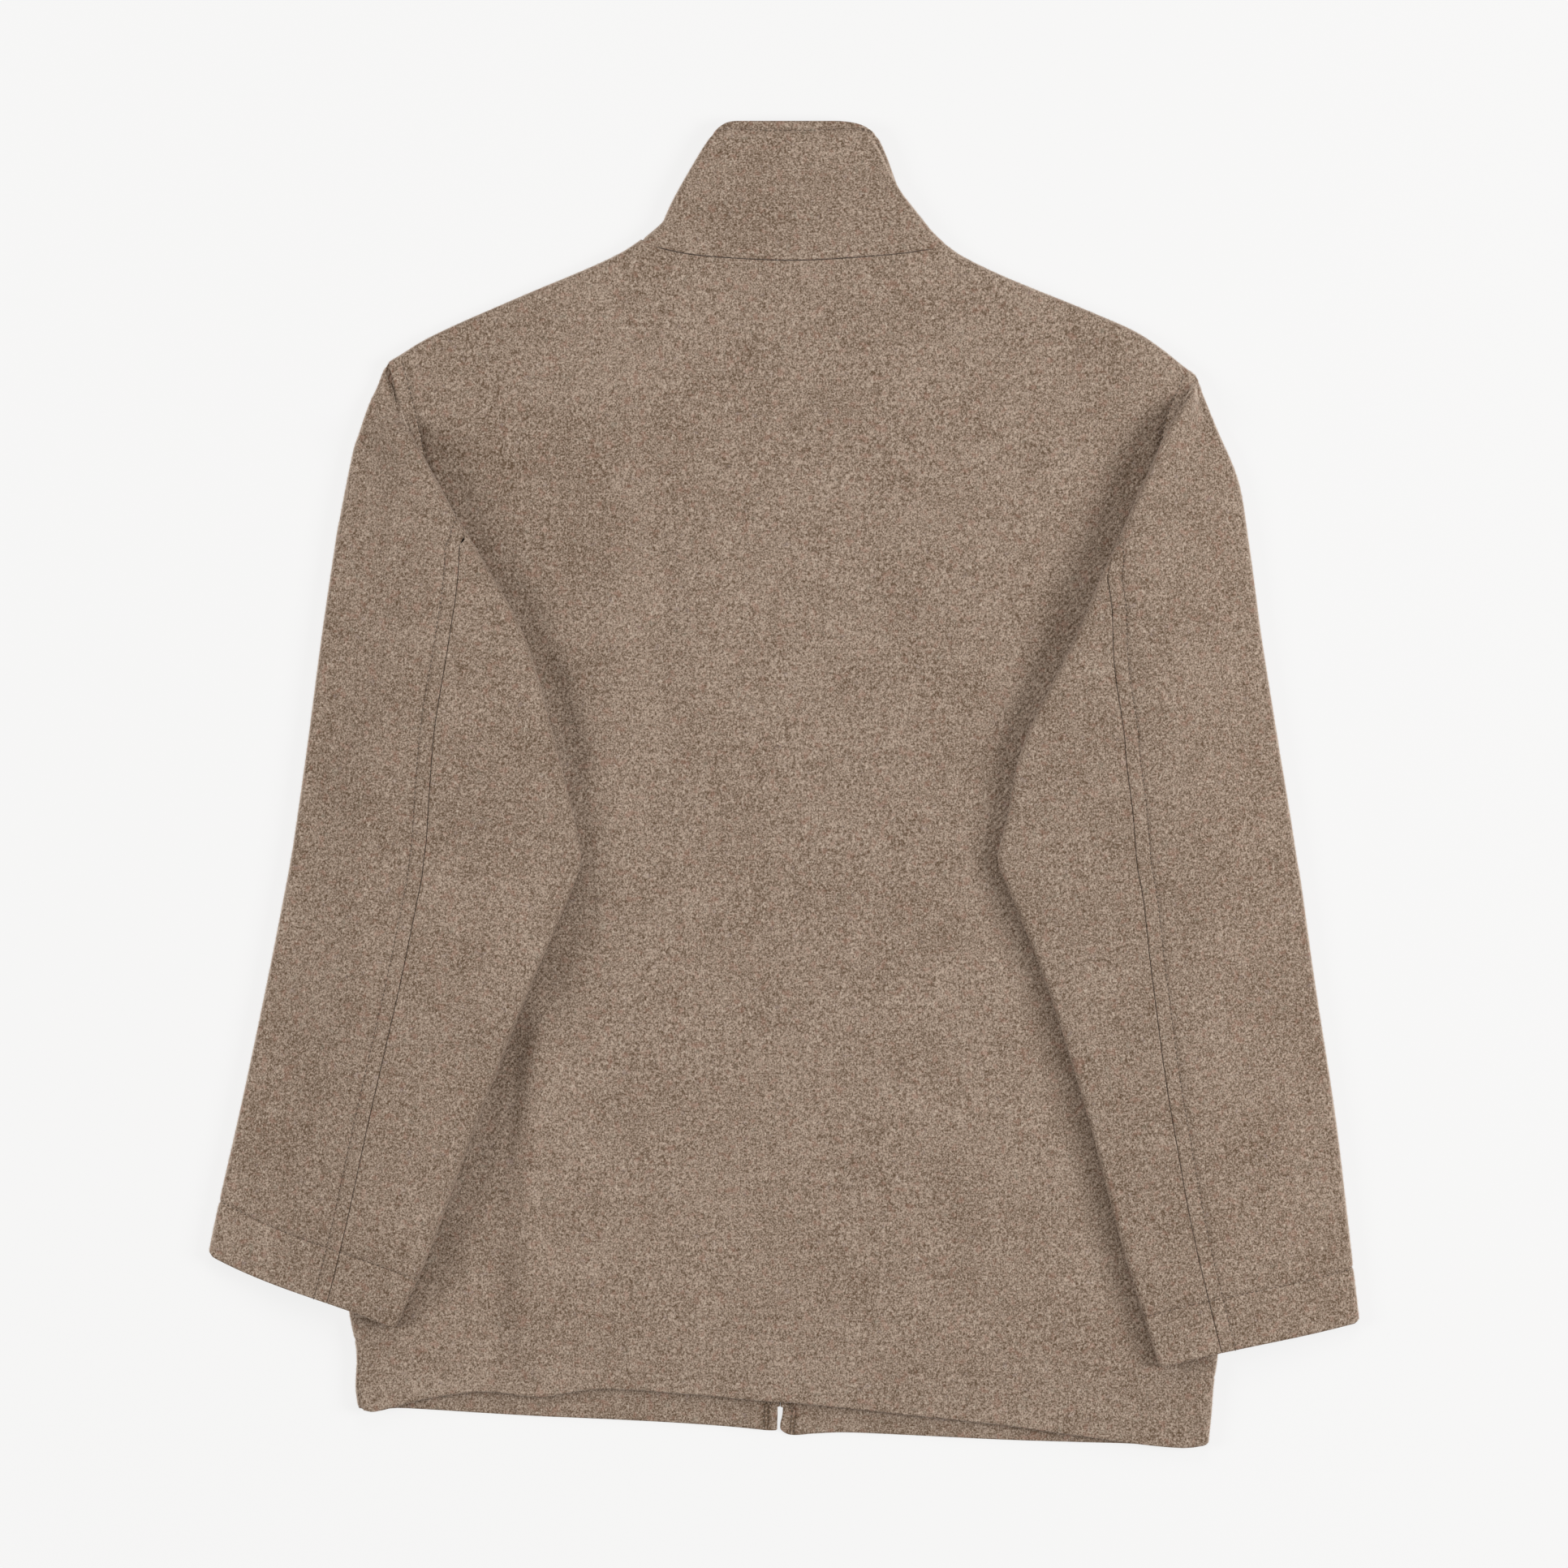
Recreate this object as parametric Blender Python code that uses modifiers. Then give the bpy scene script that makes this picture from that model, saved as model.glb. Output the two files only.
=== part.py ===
# A wool blouson laid flat on its fronts, back up, with both sleeves folded down over the back.
# Metres. X runs across, Y from the hem to the collar, and Z up from the surface it lies on.

from collections import namedtuple
import math

import bmesh
import bpy

for old in list(bpy.data.objects):
    bpy.data.objects.remove(old, do_unlink=True)

# Cloth and the room between its layers
CLOTH = 0.0028
COLLAR_CLOTH = 0.0036
SEAM = 0.0003
ARMHOLE_SEAM = 0.0007
REST = 0.0008

# Heights of the laid body over the surface
FOLD_HIGH = 0.0094
MIDDLE_HIGH = 0.0086
ARMHOLE_HIGH = 0.0067
MIDDLE_IN = 0.070
ARMHOLE_IN = 0.055
UNDERARM_Y = 0.0
UNDERARM_BLEND = 0.030
TIP_Y = 0.200
ROLL = FOLD_HIGH / 2

# Turn of a panel from a seam at a fold to its face: inset from the fold, and share of the rise done
Turn = namedtuple("Turn", "inset risen")
ROLL_TURNS = [Turn(0.0, 0.0), Turn(0.00003, 0.20), Turn(0.0013, 0.69), Turn(ROLL, 1.0)]

# Body outline. The left and right edges run up the side seams, then round the armholes
Edge = namedtuple("Edge", "y left right")
BODY_EDGE = [
    Edge(-0.4120, -0.2600, 0.2610),
    Edge(-0.3860, -0.2622, 0.2636),
    Edge(-0.3720, -0.2640, 0.2646),
    Edge(-0.3500, -0.2634, 0.2675),
    Edge(-0.3230, -0.2682, 0.2690),
    Edge(-0.2500, -0.2715, 0.2705),
    Edge(-0.1000, -0.2735, 0.2730),
    Edge(0.0000, -0.2740, 0.2745),
    Edge(0.0200, -0.2620, 0.2640),
    Edge(0.0450, -0.2480, 0.2540),
    Edge(0.0800, -0.2370, 0.2460),
    Edge(0.1200, -0.2295, 0.2410),
    Edge(0.1600, -0.2270, 0.2390),
    Edge(0.1950, -0.2290, 0.2395),
    Edge(0.2250, -0.2348, 0.2440),
    Edge(0.2500, -0.2409, 0.2525),
    Edge(0.2600, -0.2430, 0.2540),
]
Shoulder = namedtuple("Shoulder", "x y")
SHOULDER_LEFT = [
    Shoulder(-0.2430, 0.2595),
    Shoulder(-0.2180, 0.2755),
    Shoulder(-0.1680, 0.2980),
    Shoulder(-0.1180, 0.3190),
    Shoulder(-0.0990, 0.3282),
    Shoulder(-0.0880, 0.3355),
]
SHOULDER_RIGHT = [
    Shoulder(0.1000, 0.3332),
    Shoulder(0.1085, 0.3260),
    Shoulder(0.1350, 0.3130),
    Shoulder(0.1960, 0.2880),
    Shoulder(0.2220, 0.2755),
    Shoulder(0.2540, 0.2515),
]
NECK_LEFT = SHOULDER_LEFT[-1]
NECK_RIGHT = SHOULDER_RIGHT[0]
Neck = namedtuple("Neck", "x y")
BACK_NECK = [
    Neck(NECK_LEFT.x, NECK_LEFT.y),
    Neck(-0.0780, 0.3305),
    Neck(-0.0525, 0.3255),
    Neck(-0.0080, 0.3227),
    Neck(0.0164, 0.3227),
    Neck(0.0654, 0.3260),
    Neck(0.0910, 0.3295),
    Neck(NECK_RIGHT.x, NECK_RIGHT.y),
]
FRONT_NECK_Y = 0.2580
FRONT_EDGE_LEFT = -0.0042
FRONT_EDGE_RIGHT = -0.0015

# Hem lines. The fronts hang a little lower than the back
Hem = namedtuple("Hem", "x back front")
HEM = [
    Hem(-0.2640, -0.3840, -0.3840),
    Hem(-0.2540, -0.3868, -0.3868),
    Hem(-0.2420, -0.3845, -0.3848),
    Hem(-0.2188, -0.3788, -0.3857),
    Hem(-0.1840, -0.3745, -0.3875),
    Hem(-0.1490, -0.3779, -0.3895),
    Hem(-0.1260, -0.3742, -0.3905),
    Hem(-0.1030, -0.3730, -0.3915),
    Hem(-0.0535, -0.3765, -0.3943),
    Hem(-0.0136, -0.3803, -0.3975),
    Hem(0.0030, -0.3812, -0.4000),
    Hem(0.0300, -0.3838, -0.3995),
    Hem(0.0759, -0.3888, -0.4010),
    Hem(0.1335, -0.3950, -0.4038),
    Hem(0.1833, -0.4019, -0.4054),
    Hem(0.2165, -0.4063, -0.4068),
    Hem(0.2490, -0.4092, -0.4093),
    Hem(0.2610, -0.4075, -0.4075),
]

# Largest soft folds of the back, each a trough or a ridge along a straight line
Fold = namedtuple("Fold", "x0 y0 x1 y1 rise width")
BACK_FOLDS = [
    Fold(-0.152, -0.140, -0.172, -0.375, -0.0020, 0.015),
    Fold(-0.130, -0.150, -0.136, -0.375, 0.0016, 0.017),
    Fold(-0.063, 0.140, -0.064, 0.030, -0.0010, 0.018),
    Fold(-0.116, 0.140, -0.120, 0.060, -0.0010, 0.016),
    Fold(-0.182, 0.262, -0.196, 0.200, -0.0012, 0.014),
    Fold(-0.032, 0.280, -0.034, 0.030, 0.0010, 0.030),
    Fold(0.100, -0.200, 0.150, -0.330, 0.0008, 0.030),
    Fold(-0.030, -0.180, -0.010, -0.330, 0.0007, 0.030),
]

# Sleeves. A row is a section from the outer to the inner fold, from the shoulder down to the cuff
# seam is the elbow seam's place across the tube's top, from 2 by the outer fold to 3 at the inner fold
# climb is how far the inner fold has risen from beside the body to lie on the back
Section = namedtuple("Section", "outer_x outer_y inner_x inner_y outer_roll inner_roll climb seam")
SLEEVE_LEFT = [
    Section(-0.2508, 0.2445, -0.2404, 0.2455, 0.0035, 0.0034, 0.10, 3.00),
    Section(-0.2545, 0.2370, -0.2386, 0.2380, 0.0040, 0.0036, 0.50, 3.00),
    Section(-0.2590, 0.2250, -0.2357, 0.2250, 0.0044, 0.0040, 1.00, 3.00),
    Section(-0.2655, 0.2050, -0.2235, 0.2050, 0.0047, 0.0044, 1.00, 3.00),
    Section(-0.2745, 0.1600, -0.1985, 0.1600, 0.0048, 0.0047, 1.00, 2.97),
    Section(-0.2777, 0.1400, -0.1864, 0.1400, 0.0048, 0.0048, 1.00, 2.87),
    Section(-0.2850, 0.0900, -0.1592, 0.0900, 0.0048, 0.0048, 1.00, 2.64),
    Section(-0.2935, 0.0250, -0.1402, 0.0250, 0.0048, 0.0048, 1.00, 2.51),
    Section(-0.3010, -0.0280, -0.1275, -0.0280, 0.0048, 0.0048, 1.00, 2.47),
    Section(-0.3040, -0.0470, -0.1250, -0.0470, 0.0048, 0.0048, 1.00, 2.46),
    Section(-0.3075, -0.0660, -0.1305, -0.0660, 0.0048, 0.0048, 1.00, 2.47),
    Section(-0.3190, -0.1245, -0.1562, -0.1260, 0.0048, 0.0048, 1.00, 2.51),
    Section(-0.3345, -0.1980, -0.1868, -0.2040, 0.0048, 0.0048, 1.00, 2.55),
    Section(-0.3495, -0.2640, -0.2155, -0.2820, 0.0048, 0.0048, 1.00, 2.60),
    Section(-0.3545, -0.2900, -0.2385, -0.3355, 0.0046, 0.0046, 1.00, 2.64),
]
SLEEVE_RIGHT = [
    Section(0.2605, 0.2345, 0.2490, 0.2360, 0.0035, 0.0034, 0.10, 3.00),
    Section(0.2628, 0.2285, 0.2464, 0.2290, 0.0040, 0.0036, 0.90, 3.00),
    Section(0.2675, 0.2170, 0.2362, 0.2170, 0.0044, 0.0040, 1.00, 3.00),
    Section(0.2802, 0.1860, 0.2212, 0.1860, 0.0047, 0.0044, 1.00, 3.00),
    Section(0.2865, 0.1480, 0.2040, 0.1480, 0.0048, 0.0047, 1.00, 2.97),
    Section(0.2903, 0.1200, 0.1915, 0.1200, 0.0048, 0.0048, 1.00, 2.95),
    Section(0.2943, 0.0900, 0.1788, 0.0900, 0.0048, 0.0048, 1.00, 2.82),
    Section(0.3043, 0.0270, 0.1472, 0.0250, 0.0048, 0.0048, 1.00, 2.61),
    Section(0.3120, -0.0200, 0.1370, -0.0200, 0.0048, 0.0048, 1.00, 2.56),
    Section(0.3160, -0.0460, 0.1313, -0.0460, 0.0048, 0.0048, 1.00, 2.54),
    Section(0.3190, -0.0640, 0.1375, -0.0640, 0.0048, 0.0048, 1.00, 2.55),
    Section(0.3272, -0.1230, 0.1612, -0.1230, 0.0048, 0.0048, 1.00, 2.61),
    Section(0.3395, -0.2030, 0.1862, -0.2030, 0.0048, 0.0048, 1.00, 2.67),
    Section(0.3480, -0.2740, 0.2062, -0.2780, 0.0048, 0.0048, 1.00, 2.69),
    Section(0.3545, -0.3305, 0.2305, -0.3595, 0.0046, 0.0046, 1.00, 2.70),
]
UNDER_FROM = 4
STEPS_A_ROW = 2
OUTER_TURNS = (0.0, 0.5, 1.0, 1.2, 1.4, 1.6, 1.8, 2.0)
INNER_TURNS = (3.0, 3.2, 3.4, 3.6, 3.8, 4.0, 4.34, 4.67, 5.0, 5.2, 5.4, 5.6, 5.8, 6.0)
UPPER_TOP = 7
UNDER_TOP = 4
FIRST_SHARE = 0.3
TRIES = 6
RAMP = 0.018
RAMP_FOOT = 0.003
BODY_CLEAR = 0.002
FLAT_LEAST = 0.0021
TOP_REACH = 0.004
SLEEVE_SWELL = 0.0012
CUFF_BOW = 0.0018

# Stand collar, a band from the neck seam to its top edge. A row is a level up its side folds
Level = namedtuple("Level", "share left right high")
COLLAR_LEVELS = [
    Level(0.00, -0.0880, 0.1000, 0.0094),
    Level(0.03, -0.0880, 0.1000, 0.0094),
    Level(0.10, -0.0805, 0.0915, 0.0098),
    Level(0.20, -0.0740, 0.0860, 0.0102),
    Level(0.35, -0.0694, 0.0773, 0.0106),
    Level(0.50, -0.0642, 0.0705, 0.0108),
    Level(0.65, -0.0582, 0.0665, 0.0108),
    Level(0.80, -0.0520, 0.0625, 0.0106),
    Level(0.95, -0.0448, 0.0573, 0.0104),
    Level(1.00, -0.0412, 0.0530, 0.0103),
]
COLLAR_FOLD_TOP = 0.4015
COLLAR_BACK_TOP = 0.4084
COLLAR_FRONT_TOP = 0.3380
COLLAR_CORNER = 0.012
FRONT_NECK_TURNS = (90, 80, 68, 55, 42, 28, 14, 0)
BACK_NECK_SHARES = (0.09, 0.20, 0.32, 0.44, 0.56, 0.68, 0.80, 0.91)

# Zip behind the front edges
ZIP_MIDDLE = (FRONT_EDGE_LEFT + FRONT_EDGE_RIGHT) / 2
ZIP_BOTTOM = -0.3650
ZIP_TOP = 0.3340
TAPE_NEAR = 0.0025
TAPE_FAR = 0.0165
TAPE_CLOTH = 0.0007
TEETH_HALF = 0.0021
TEETH_THICK = 0.0012
NECK_STEP = 0.010

# Heights of what the zip lies on, stepping up from the fronts to the doubled collar
Step = namedtuple("Step", "y floor")
ZIP_STEPS = [
    Step(ZIP_BOTTOM, CLOTH),
    Step(FRONT_NECK_Y - NECK_STEP - REST, CLOTH),
    Step(FRONT_NECK_Y - REST, COLLAR_CLOTH),
    Step(ZIP_TOP, COLLAR_CLOTH),
]

# How finely the panels are made
SHOULDER_SHARES = (0.18, 0.36, 0.54, 0.72, 0.88)
BODY_ROWS = 34
BODY_LAST = BODY_ROWS + len(ROLL_TURNS) - 1

WOOL = (0.300, 0.225, 0.172, 1.0)
WOOL_ROUGH = 0.95
TAPE_COLOUR = (0.130, 0.095, 0.070, 1.0)
TEETH_COLOUR = (0.340, 0.260, 0.150, 1.0)
TEETH_ROUGH = 0.35


def mix(a, b, t):
    return a + (b - a) * t


def smooth(t):
    t = min(max(t, 0.0), 1.0)
    return t * t * (3.0 - 2.0 * t)


def follow(rows, key, wanted, at):
    """A smooth value of one column of a table at a place along another column."""
    places = [getattr(row, key) for row in rows]
    values = [getattr(row, wanted) for row in rows]
    return curve(places, values, at)


def curve(places, values, at):
    """A smooth curve through values at rising places, flat beyond its ends."""
    at = min(max(at, places[0]), places[-1])
    i = max(k for k in range(len(places) - 1) if places[k] <= at)

    def slope(k):
        low = max(k - 1, 0)
        high = min(k + 1, len(places) - 1)
        return (values[high] - values[low]) / (places[high] - places[low])

    span = places[i + 1] - places[i]
    t = (at - places[i]) / span
    rise = values[i + 1] - values[i]
    bend = t * (1.0 - t) * ((slope(i) * span - rise) * (1.0 - t) - (slope(i + 1) * span - rise) * t)
    return values[i] + rise * t + bend


def from_line(fold, x, y):
    """How far a point is from a fold's line, and how far along the line it is."""
    dx = fold.x1 - fold.x0
    dy = fold.y1 - fold.y0
    length = math.hypot(dx, dy)
    along = ((x - fold.x0) * dx + (y - fold.y0) * dy) / length
    off = ((x - fold.x0) * dy - (y - fold.y0) * dx) / length
    return off, along, length


def edge_left(y):
    return follow(BODY_EDGE, "y", "left", y)


def edge_right(y):
    return follow(BODY_EDGE, "y", "right", y)


def back_high(x, y):
    """Height of the back's upper face, without the rolled edges."""
    inset = min(x - edge_left(y), edge_right(y) - x)
    high = mix(FOLD_HIGH, MIDDLE_HIGH, smooth(inset / MIDDLE_IN))
    high = mix(high, FOLD_HIGH, smooth((y - FRONT_NECK_Y) / MIDDLE_IN))
    for fold in BACK_FOLDS:
        off, along, length = from_line(fold, x, y)
        ends = smooth((along + fold.width) / (2 * fold.width))
        ends *= smooth((length + fold.width - along) / (2 * fold.width))
        high += fold.rise * ends * math.exp(-((off / fold.width) ** 2))
    above = smooth((y - UNDERARM_Y + UNDERARM_BLEND) / (2 * UNDERARM_BLEND))
    above *= 1.0 - smooth((y - TIP_Y) / UNDERARM_BLEND)
    low = mix(ARMHOLE_HIGH, high, smooth(inset / ARMHOLE_IN))
    return mix(high, low, above)


def side_roll(y):
    """One along the side seams, nothing along the armholes."""
    return 1.0 - smooth((y - UNDERARM_Y + UNDERARM_BLEND) / UNDERARM_BLEND)


def rolled(inset):
    """Share of the way from the seam's height to the face's height, at an inset from a fold."""
    near = min(max(1.0 - inset / ROLL, 0.0), 1.0)
    return 1.0 - math.sqrt(1.0 - near * near)


def shoulder_roll(x):
    """One along the shoulders, falling to nothing at the neck's corners."""
    if x <= NECK_LEFT.x or x >= NECK_RIGHT.x:
        return 1.0
    return rolled(min(x - NECK_LEFT.x, NECK_RIGHT.x - x))


def shoulder_y(x):
    if x <= NECK_LEFT.x:
        return follow(SHOULDER_LEFT, "x", "y", x)
    return follow(SHOULDER_RIGHT, "x", "y", x)


def bent(side_risen, top_risen, x, y):
    """Share of the half height that a body panel has turned from its face toward the seam."""
    beside = side_roll(y) * (1.0 - side_risen)
    above = shoulder_roll(x) * (1.0 - top_risen)
    return 1.0 - (1.0 - beside) * (1.0 - above)


def row_place(bottom, top, row):
    """Y of a row, and its rise from the top seam. The last rows lie in the shoulder's roll."""
    if row > BODY_ROWS:
        turn = ROLL_TURNS[BODY_LAST - row]
        return top - turn.inset, turn.risen
    return mix(bottom, top - ROLL, row / BODY_ROWS), 1.0


def cloth(name, across, along, place, thick, colour, rough=WOOL_ROUGH, turned=False, metal=0.0, cut=None):
    """A panel: a grid bent into place as the cloth's outer face, given its thickness inward."""
    work = bmesh.new()
    bmesh.ops.create_grid(work, x_segments=across, y_segments=along, size=0.5)
    if cut:
        away = []
        for face in work.faces:
            middle = face.calc_center_median()
            if cut((middle.x + 0.5) * across, (middle.y + 0.5) * along):
                away.append(face)
        bmesh.ops.delete(work, geom=away, context="FACES")
    for corner in work.verts:
        column = round((corner.co.x + 0.5) * across)
        row = round((corner.co.y + 0.5) * along)
        corner.co = place(column, row)
    if turned:
        bmesh.ops.reverse_faces(work, faces=work.faces)
    mesh = bpy.data.meshes.new(name)
    work.to_mesh(mesh)
    work.free()
    panel = bpy.data.objects.new(name, mesh)
    garment.objects.link(panel)
    wall = panel.modifiers.new("wall", "SOLIDIFY")
    wall.thickness = thick
    wall.offset = -1.0
    stuff = bpy.data.materials.new(name + "_stuff")
    stuff.use_nodes = True
    shader = stuff.node_tree.nodes["Principled BSDF"]
    shader.inputs["Base Color"].default_value = colour
    shader.inputs["Roughness"].default_value = rough
    shader.inputs["Metallic"].default_value = metal
    mesh.materials.append(stuff)
    return panel


garment = bpy.data.collections.new("blouson")
bpy.context.scene.collection.children.link(garment)

# Back, from side seam to side seam, and from the hem to the shoulders and the neck seam
left_top = edge_left(SHOULDER_LEFT[0].y)
right_top = edge_right(SHOULDER_RIGHT[-1].y)
neck_stations = [NECK_LEFT.x + turn.inset for turn in ROLL_TURNS[1:]]
neck_in = (NECK_LEFT.x + ROLL, NECK_RIGHT.x - ROLL)
neck_stations += [mix(neck_in[0], neck_in[1], share) for share in BACK_NECK_SHARES]
neck_stations += [NECK_RIGHT.x - turn.inset for turn in reversed(ROLL_TURNS[1:])]
back_stations = [mix(left_top + ROLL, NECK_LEFT.x, share) for share in SHOULDER_SHARES]
back_stations += neck_stations
back_stations += [mix(right_top - ROLL, NECK_RIGHT.x, share) for share in reversed(SHOULDER_SHARES)]
back_across = len(back_stations) + 2 * len(ROLL_TURNS) - 1


def across_body(x, low, high, y):
    """X at height y of a column that stands at x along the shoulder line."""
    share = (x - left_top - ROLL) / (right_top - left_top - 2 * ROLL)
    return mix(low(y) + ROLL, high(y) - ROLL, share)


def back_place(column, row):
    rolls = len(ROLL_TURNS)
    risen = 1.0
    if column < rolls:
        at_top = left_top + ROLL_TURNS[column].inset
        risen = ROLL_TURNS[column].risen
    elif column > back_across - rolls:
        at_top = right_top - ROLL_TURNS[back_across - column].inset
        risen = ROLL_TURNS[back_across - column].risen
    else:
        at_top = back_stations[column - rolls]
    if NECK_LEFT.x < at_top < NECK_RIGHT.x:
        top = follow(BACK_NECK, "x", "y", at_top) - SEAM / 2
    else:
        top = shoulder_y(at_top)
    bottom = follow(HEM, "x", "back", at_top * HEM[-1].x / right_top)
    y, top_risen = row_place(bottom, top, row)
    if column < rolls:
        x = edge_left(y) + ROLL_TURNS[column].inset
    elif column > back_across - rolls:
        x = edge_right(y) - ROLL_TURNS[back_across - column].inset
    else:
        x = across_body(at_top, edge_left, edge_right, y)
    half = back_high(x, y) / 2
    return x, y, 2 * half - bent(risen, top_risen, at_top, y) * (half - SEAM / 2)


cloth("back", back_across, BODY_LAST, back_place, CLOTH, WOOL)


# Fronts, flat on the surface, turned up at the side and shoulder seams to meet the back
def front(name, side):
    wearer_left = side < 0
    neck = NECK_LEFT if wearer_left else NECK_RIGHT
    outer = left_top if wearer_left else right_top
    middle = FRONT_EDGE_LEFT if wearer_left else FRONT_EDGE_RIGHT
    edge = edge_left if wearer_left else edge_right
    reach = neck.x - middle + side * SEAM / 2
    drop = neck.y - FRONT_NECK_Y + SEAM / 2
    stations = [(outer - side * turn.inset, None) for turn in ROLL_TURNS]
    stations += [(mix(outer - side * ROLL, neck.x, share), None) for share in SHOULDER_SHARES]
    for turn in FRONT_NECK_TURNS:
        angle = math.radians(turn)
        stations.append((middle + reach * math.sin(angle), neck.y - drop * math.cos(angle)))

    def place(column, row):
        at_top, neck_y = stations[column]
        top = shoulder_y(at_top) if neck_y is None else neck_y
        bottom = follow(HEM, "x", "front", at_top * HEM[-1].x / right_top)
        y, top_risen = row_place(bottom, top, row)
        risen = 1.0
        if column < len(ROLL_TURNS):
            x = edge(y) - side * ROLL_TURNS[column].inset
            risen = ROLL_TURNS[column].risen
        else:
            share = (at_top - outer + side * ROLL) / (middle - outer + side * ROLL)
            x = mix(edge(y) - side * ROLL, middle, share)
        half = back_high(x, y) / 2
        return x, y, bent(risen, top_risen, at_top, y) * (half - SEAM / 2)

    cloth(name, len(stations) - 1, BODY_LAST, place, CLOTH, WOOL, turned=wearer_left)


front("front_left", -1)
front("front_right", 1)


# Sleeves, flattened tubes that lie half on the surface and half on the back
def sleeve(name, rows, side):
    edge = edge_left if side < 0 else edge_right
    count = len(rows)
    numbers = list(range(count))

    def value(wanted, at):
        return curve(numbers, [getattr(row, wanted) for row in rows], at)

    def below_arm(y):
        return smooth((UNDERARM_Y + UNDERARM_BLEND - y) / (2 * UNDERARM_BLEND))

    def support(x, y):
        """Height of what lies below the sleeve, running down outside the body's side."""
        inside = (edge(y) - x) * side
        down = smooth((inside + RAMP) / RAMP)
        return (back_high(x, y) + REST) * mix(1.0, down, below_arm(y))

    def split_x(y):
        return edge(y) + side * (ARMHOLE_SEAM + (RAMP + RAMP_FOOT) * below_arm(y))

    def section(at):
        """A section's plan line and rolls, and the places below it of the split and the body's edge."""
        ox, oy = value("outer_x", at), value("outer_y", at)
        ix, iy = value("inner_x", at), value("inner_y", at)
        width = math.hypot(ix - ox, iy - oy)
        outer_roll = value("outer_roll", at)
        inner_roll = value("inner_roll", at)
        found = []
        for wanted in (split_x, edge):
            share = FIRST_SHARE
            for _ in range(TRIES):
                share = (wanted(mix(oy, iy, share)) - ox) / (ix - ox)
            found.append(share * width)
        split = min(max(found[0], outer_roll + SEAM), width - inner_roll - FLAT_LEAST)
        body = min(found[1], width - inner_roll)
        return ox, oy, ix, iy, width, outer_roll, inner_roll, split, body

    def tube(at, turn):
        """A point by its turn: below to 1, outer fold to 2, top to 3, inner fold to 4, below to 6."""
        ox, oy, ix, iy, width, outer_roll, inner_roll, split, body = section(at)
        climb = min(value("climb", at), 1.0)
        from_inner = (width - inner_roll) / width
        lift = support(mix(ox, ix, from_inner), mix(oy, iy, from_inner)) * climb
        foot = min(max(body + BODY_CLEAR, split + 3 * SEAM), width - inner_roll - 2 * SEAM)
        if turn <= 1.0:
            d = mix(split, outer_roll, turn)
            z = 0.0
        elif turn <= 2.0:
            angle = math.pi * (turn - 1.5)
            d = outer_roll - outer_roll * math.cos(angle)
            z = outer_roll + outer_roll * math.sin(angle)
        elif turn <= 3.0:
            t = turn - 2.0
            d = mix(outer_roll, width - inner_roll, t)
            full = min(body + TOP_REACH, width - inner_roll)
            risen = smooth((d - outer_roll) / max(full - outer_roll, SEAM))
            z = mix(2 * outer_roll, lift + 2 * inner_roll, risen)
            z += SLEEVE_SWELL * math.sin(math.pi * t) * smooth(at / UNDER_FROM)
        elif turn <= 4.0:
            angle = math.pi * (3.5 - turn)
            d = width - inner_roll + inner_roll * math.cos(angle)
            z = lift + inner_roll + inner_roll * math.sin(angle)
        else:
            if turn <= 5.0:
                d = mix(width - inner_roll, foot, turn - 4.0)
            else:
                d = mix(foot, split + 2 * SEAM, turn - 5.0)
            z = climb * support(mix(ox, ix, d / width), mix(oy, iy, d / width))
        share = d / width
        bow = 4 * CUFF_BOW * share * (1.0 - share) * smooth(at - count + 2)
        return mix(ox, ix, share), mix(oy, iy, share) - bow, z

    def seam_turn(at):
        return value("seam", at)

    def seam_step(at):
        """Half of the gap at the elbow seam, in turns across the tube's top."""
        found = section(at)
        return 0.5 * SEAM / (found[4] - found[5] - found[6])

    first_top = len(OUTER_TURNS) - 1
    last_top = first_top + UPPER_TOP

    def upper_place(column, row):
        at = row / STEPS_A_ROW
        if column <= first_top:
            return tube(at, OUTER_TURNS[column])
        if column > last_top:
            return tube(at, INNER_TURNS[column - last_top])
        end = seam_turn(at) - seam_step(at) if row >= UNDER_FROM * STEPS_A_ROW else 3.0
        return tube(at, mix(2.0, end, (column - first_top) / UPPER_TOP))

    def beyond_seam(column, row):
        return column > last_top and row > UNDER_FROM * STEPS_A_ROW

    def under_place(column, row):
        at = UNDER_FROM + row / STEPS_A_ROW
        if row == 0:
            at += 2 * SEAM / abs(value("inner_y", at + 1) - value("inner_y", at))
        start = seam_turn(at) + seam_step(at)
        if column < UNDER_TOP:
            return tube(at, mix(start, 3.0, column / UNDER_TOP))
        return tube(at, INNER_TURNS[column - UNDER_TOP])

    rows_upper = (count - 1) * STEPS_A_ROW
    rows_under = (count - 1 - UNDER_FROM) * STEPS_A_ROW
    across_upper = last_top + len(INNER_TURNS) - 1
    across_under = UNDER_TOP + len(INNER_TURNS) - 1
    over = side < 0
    cloth(name + "_upper", across_upper, rows_upper, upper_place, CLOTH, WOOL, turned=over, cut=beyond_seam)
    cloth(name + "_under", across_under, rows_under, under_place, CLOTH, WOOL, turned=over)


sleeve("sleeve_left", SLEEVE_LEFT, -1)
sleeve("sleeve_right", SLEEVE_RIGHT, 1)

# Collar, one band from front edge to front edge round the back of the neck, folded at both sides
collar_columns = [("front_left", turn) for turn in reversed(FRONT_NECK_TURNS[1:])]
collar_columns += [("back", station) for station in range(len(neck_stations))]
collar_columns += [("front_right", turn) for turn in FRONT_NECK_TURNS[1:]]


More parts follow.
